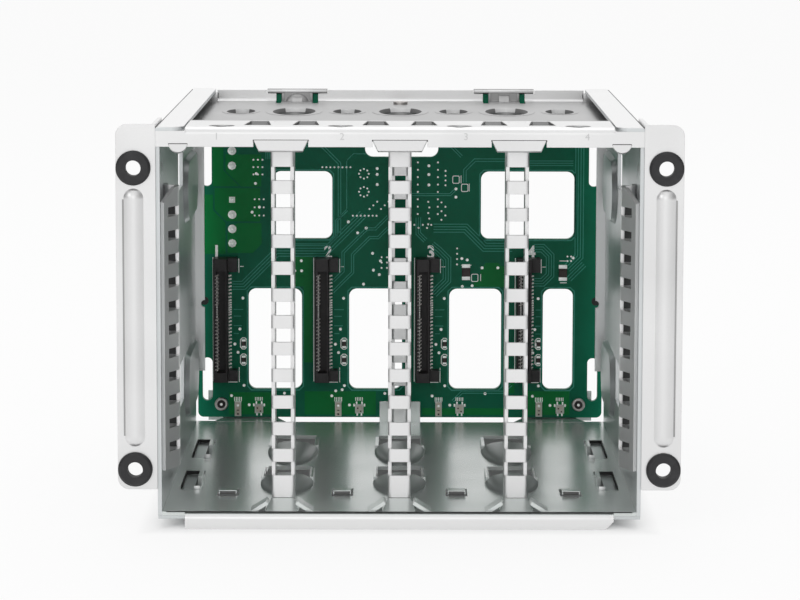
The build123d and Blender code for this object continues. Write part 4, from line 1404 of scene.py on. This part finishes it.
    def lights(self) -> None:
        """Set the two light parts of each bay: a slim one with a comb, and a squat one with prongs."""
        bench = self.bench
        pad, solder, lens, dark = range(4)
        piece = bench.cube("bay_lights", (-4.1 * MM, -0.45 * MM, 3.3 * MM), (2.3, 0.9, 5.2),
                           (self.finishes.pad, self.finishes.solder, self.finishes.lens, self.finishes.chip))
        bench.pick(bench.front)
        bpy.ops.mesh.inset(thickness=0.3 * MM, depth=-0.12 * MM)
        bench.paint(piece, lens)
        blocks = [((-5.45 + 0.6 * i, -5.17 + 0.6 * i), (-0.16, 0.0), (6.0, 7.5), solder) for i in range(5)]
        blocks += [((-5.3, -2.9), (-0.5, 0.0), (5.6, 5.95), solder),
                   ((-4.5, -3.7), (-0.96, -0.7), (4.1, 4.9), solder),
                   ((-4.4, -3.8), (-0.96, -0.7), (1.2, 1.8), dark),
                   ((-4.5, -3.7), (-0.96, -0.7), (2.7, 3.0), dark),
                   ((1.9, 4.9), (-1.0, 0.0), (1.8, 5.0), pad)]
        for block in blocks:
            bench.block(*block)
        bench.pick(lambda face: bench.front(face) and abs(face.calc_center_median().x - 3.4 * MM) < 0.1 * MM
                   and face.calc_center_median().y < -0.95 * MM)
        bpy.ops.mesh.inset(thickness=0.5 * MM, depth=-0.1 * MM)
        bench.paint(piece, lens)
        blocks = [((x, x + 0.55), (-0.55, 0.0), (z, z + 0.95), solder)
                  for x, z in ((1.3, 4.2), (5.0, 4.2), (2.2, 5.0), (4.1, 5.0), (2.4, 0.9), (3.9, 0.9))]
        blocks += [((x, x + 0.5), (-1.08, -0.8), (z, z + 0.5), dark) for x, z in ((2.6, 3.4), (3.7, 2.3))]
        blocks += [((2.0 + 0.6 * i, 2.26 + 0.6 * i), (-0.16, 0.0), (6.2, 7.5), solder) for i in range(5)]
        for block in blocks:
            bench.block(*block)
        bench.bevel(piece, 0.06)
        bench.tidy(piece)
        whole = self.lay(piece, [(x, 0.0) for x in self.bay_x])
        bench.finish(whole, self.finishes.pad, Slot.LIGHT, replaces=("indicator_lights",))

    def screw_faces(self) -> None:
        """Give each board screw a dark recess of painted shade with a bright middle."""
        low, high = (DATUM.back(corner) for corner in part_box("board_screws"))
        piece = self.bench.disc("screw_recesses", 24, 1.5, 0.08)
        self.bench.pick(self.bench.front)
        bpy.ops.mesh.inset(thickness=0.7 * MM, depth=-0.04 * MM)
        bpy.ops.mesh.inset(thickness=0.3 * MM, depth=0.2 * MM)
        self.bench.coat(piece, (self.finishes.rust, self.finishes.solder))
        self.bench.paint(piece, 1)
        self.bench.tidy(piece)
        places = [DATUM.at(side * (high.x - self.screw_inset), low.y, self.screw_z) for side in SIDES]
        self.bench.finish(self.bench.repeat(piece, places), self.finishes.rust, Slot.SCREW)

    def build(self) -> None:
        """Dress the board and set everything on it."""
        dress("backplane_board", self.finishes.mask)
        dress("board_screws", self.finishes.screw)
        self.copper()
        self.vias()
        self.joints()
        self.print_marks()
        self.chips()
        self.lights()
        self.screw_faces()


@dataclass
class Connectors:
    """Drive sockets on the front of the board, headers and cable sockets on its back."""

    bench: Bench
    finishes: Finishes
    bay_x: tuple[float, ...] = BAY_X
    lead_pitch: float = 1.27
    lead_rows: tuple[tuple[float, int], ...] = ((51.8, 9), (36.2, 15))
    lead_gap: float = -11.0
    lead_slant: float = 0.55

    def leads(self) -> None:
        """Set the slanted ends of the contacts along the left side of each socket's slot."""
        front = DATUM.back(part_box("drive_socket_1")[0]).y
        piece = self.bench.cube("socket_leads", (0.0, -0.04 * MM, 0.0), (1.4, 0.08, 0.5))
        self.bench.pick(lambda face: face.normal.x > 0.9)
        bpy.ops.transform.translate(value=(0.0, 0.0, self.lead_slant * MM))
        self.bench.pick(lambda face: face.normal.x < -0.9)
        bpy.ops.transform.resize(value=(1.0, 1.0, 0.6))
        self.bench.tidy(piece)
        heights = [top - self.lead_pitch * i for top, count in self.lead_rows for i in range(count)]
        places = [DATUM.at(x + self.lead_gap, front, z) for x in self.bay_x for z in heights]
        self.bench.finish(self.bench.repeat(piece, places), self.finishes.lead, Slot.CONTACT)

    def build(self) -> None:
        """Dress the connectors and their contacts."""
        for node in FRAME["nodes"]:
            if node.startswith(("drive_socket", "cable_insert")):
                dress(node, self.finishes.black)
            elif node.startswith(("socket_contacts", "header_pins")):
                dress(node, self.finishes.contact)
            elif node.startswith("power_header"):
                dress(node, self.finishes.nylon)
            elif node.startswith("cable_socket"):
                dress(node, self.finishes.shell)
        self.leads()


@dataclass
class Hardware:
    """Grommets, rivets and the roof screw."""

    bench: Bench
    finishes: Finishes

    def build(self) -> None:
        """Dress the small hardware."""
        for node in FRAME["nodes"]:
            if node.endswith("grommet"):
                dress(node, self.finishes.rubber)
            elif node.endswith("rivets") or node == "roof_screw":
                dress(node, self.finishes.screw)


@dataclass
class Studio:
    """Floor, lights, world and camera."""

    place: tuple[float, float, float] = (0.00082, -1.10709, 0.19842)
    down: float = 7.2148
    turn: float = -0.0410
    roll: float = 0.1179
    lens: float = 151.83
    sensor: float = 36.0
    clip: Spot = (0.05, 60.0)
    ambient: float = 1.05
    side_share: float = 0.18
    side_fade: Spot = (0.2, 0.95)
    floor_size: float = 30.0
    shade_reach: Spot = (0.074, 0.097)
    shade_fade: Spot = (0.88, 1.08)
    shade_glow: Spot = (0.05, 0.86)
    lamps: tuple[tuple[str, Sequence[float], Sequence[float], Spot, float], ...] = (
        ("front_lamp", (-1.2, -1.3, 0.8), (0.0, 0.0, 0.06), (0.9, 0.9), 2.9),
        ("fill_lamp", (-0.2, -1.9, 0.45), (0.0, 0.0, 0.06), (0.7, 0.7), 0.8),
        ("top_lamp", (0.0, 0.3, 1.4), (0.0, 0.0, 0.05), (1.4, 1.2), 4.0))

    def camera(self) -> None:
        """Set the camera at the photograph's place and angle."""
        data = bpy.data.cameras.new("camera")
        data.lens = self.lens
        data.sensor_width = self.sensor
        data.clip_start, data.clip_end = self.clip
        camera = bpy.data.objects.new("camera", data)
        bpy.context.scene.collection.objects.link(camera)
        down, turn, roll = (math.radians(v) for v in (self.down, self.turn, self.roll))
        ahead = Vector((math.sin(turn) * math.cos(down), math.cos(turn) * math.cos(down), -math.sin(down)))
        level = Vector((math.cos(turn), -math.sin(turn), 0.0))
        upright = level.cross(ahead)
        right = level * math.cos(roll) + upright * math.sin(roll)
        above = upright * math.cos(roll) - level * math.sin(roll)
        axes = Matrix((right, above, -ahead)).transposed().to_4x4()
        camera.matrix_world = Matrix.Translation(self.place) @ axes
        bpy.context.scene.camera = camera

    def lamp(self, name: str, place: Sequence[float], target: Sequence[float], size: Spot, power: float) -> None:
        """Hang one soft rectangular lamp.

        Args:
            name: The lamp's name.
            place: Where it hangs, in metres.
            target: What it points at, in metres.
            size: Its width and height in metres.
            power: Its power in watts.
        """
        data = bpy.data.lights.new(name, "AREA")
        data.shape = "RECTANGLE"
        data.size, data.size_y = size
        data.energy = power
        lamp = bpy.data.objects.new(name, data)
        lamp.location = place
        lamp.rotation_euler = (Vector(target) - Vector(place)).to_track_quat("-Z", "Y").to_euler()
        bpy.context.scene.collection.objects.link(lamp)

    def world(self) -> None:
        """Make the surroundings white to the eye and in reflections, and softer as light."""
        world = bpy.data.worlds.new("surroundings")
        bpy.context.scene.world = world
        world.use_nodes = True
        wiring = Wiring(world.node_tree)
        path = wiring.node("ShaderNodeLightPath")
        camera = seen = path.outputs["Is Camera Ray"]
        for name in ("Is Glossy Ray", "Is Transmission Ray"):
            seen = wiring.compute("MAXIMUM", seen, path.outputs[name])
        strength = wiring.spread(seen, self.ambient, 1.0, 0.0, 1.0)
        place = wiring.node("ShaderNodeTexCoord").outputs["Generated"]
        aside = wiring.compute("ABSOLUTE", wiring.along(place, "X"))
        fade = wiring.spread(aside, 1.0, self.side_share, *self.side_fade)
        final = wiring.compute("MAXIMUM", camera, wiring.compute("MULTIPLY", strength, fade))
        background = wiring.tree.nodes["Background"]
        background.inputs["Color"].default_value = (1.0, 1.0, 1.0, 1.0)
        wiring.join(final, background.inputs["Strength"])

    def floor(self) -> None:
        """Lay a plain pale floor that glows to the eye, but not in the cage's shade."""
        bpy.ops.object.select_all(action="DESELECT")
        bpy.ops.mesh.primitive_plane_add(size=self.floor_size)
        floor = bpy.context.object
        floor.name = "studio_floor"
        material = bpy.data.materials.new("studio_floor")
        material.use_nodes = True
        wiring = Wiring(material.node_tree)
        shader = wiring.tree.nodes["Principled BSDF"]
        shader.inputs["Base Color"].default_value = (0.93, 0.93, 0.93, 1.0)
        shader.inputs["Roughness"].default_value = 0.9
        shader.inputs["Specular IOR Level"].default_value = 0.0
        path = wiring.node("ShaderNodeLightPath")
        seen = wiring.compute("MAXIMUM", path.outputs["Is Camera Ray"], path.outputs["Is Glossy Ray"])
        place = wiring.node("ShaderNodeTexCoord").outputs["Object"]
        apart = [wiring.compute("DIVIDE", wiring.compute("ABSOLUTE", wiring.along(place, axis)), reach)
                 for axis, reach in zip("XY", self.shade_reach)]
        fade = wiring.spread(wiring.compute("MAXIMUM", *apart), *self.shade_glow, *self.shade_fade)
        glow = wiring.node("ShaderNodeEmission")
        mix = wiring.node("ShaderNodeMixShader")
        for source, target in zip((wiring.compute("MULTIPLY", seen, fade), shader.outputs[0], glow.outputs[0]),
                                  mix.inputs):
            wiring.join(source, target)
        wiring.join(mix.outputs[0], wiring.tree.nodes["Material Output"].inputs["Surface"])
        floor.data.materials.append(material)

    def build(self) -> None:
        """Set up the whole studio."""
        self.camera()
        self.world()
        self.floor()
        for lamp in self.lamps:
            self.lamp(*lamp)
        bpy.context.scene.view_settings.view_transform = "Standard"


def main() -> None:
    """Build the looks of the cage and the studio round it."""
    logging.basicConfig(level=logging.INFO, format="%(message)s")
    bench = Bench()
    finishes = Finishes()
    Studio().build()
    SheetWork(bench, finishes).build()
    Backplane(bench, finishes).build()
    Connectors(bench, finishes).build()
    Hardware(bench, finishes).build()


if __name__ == "__main__":
    main()
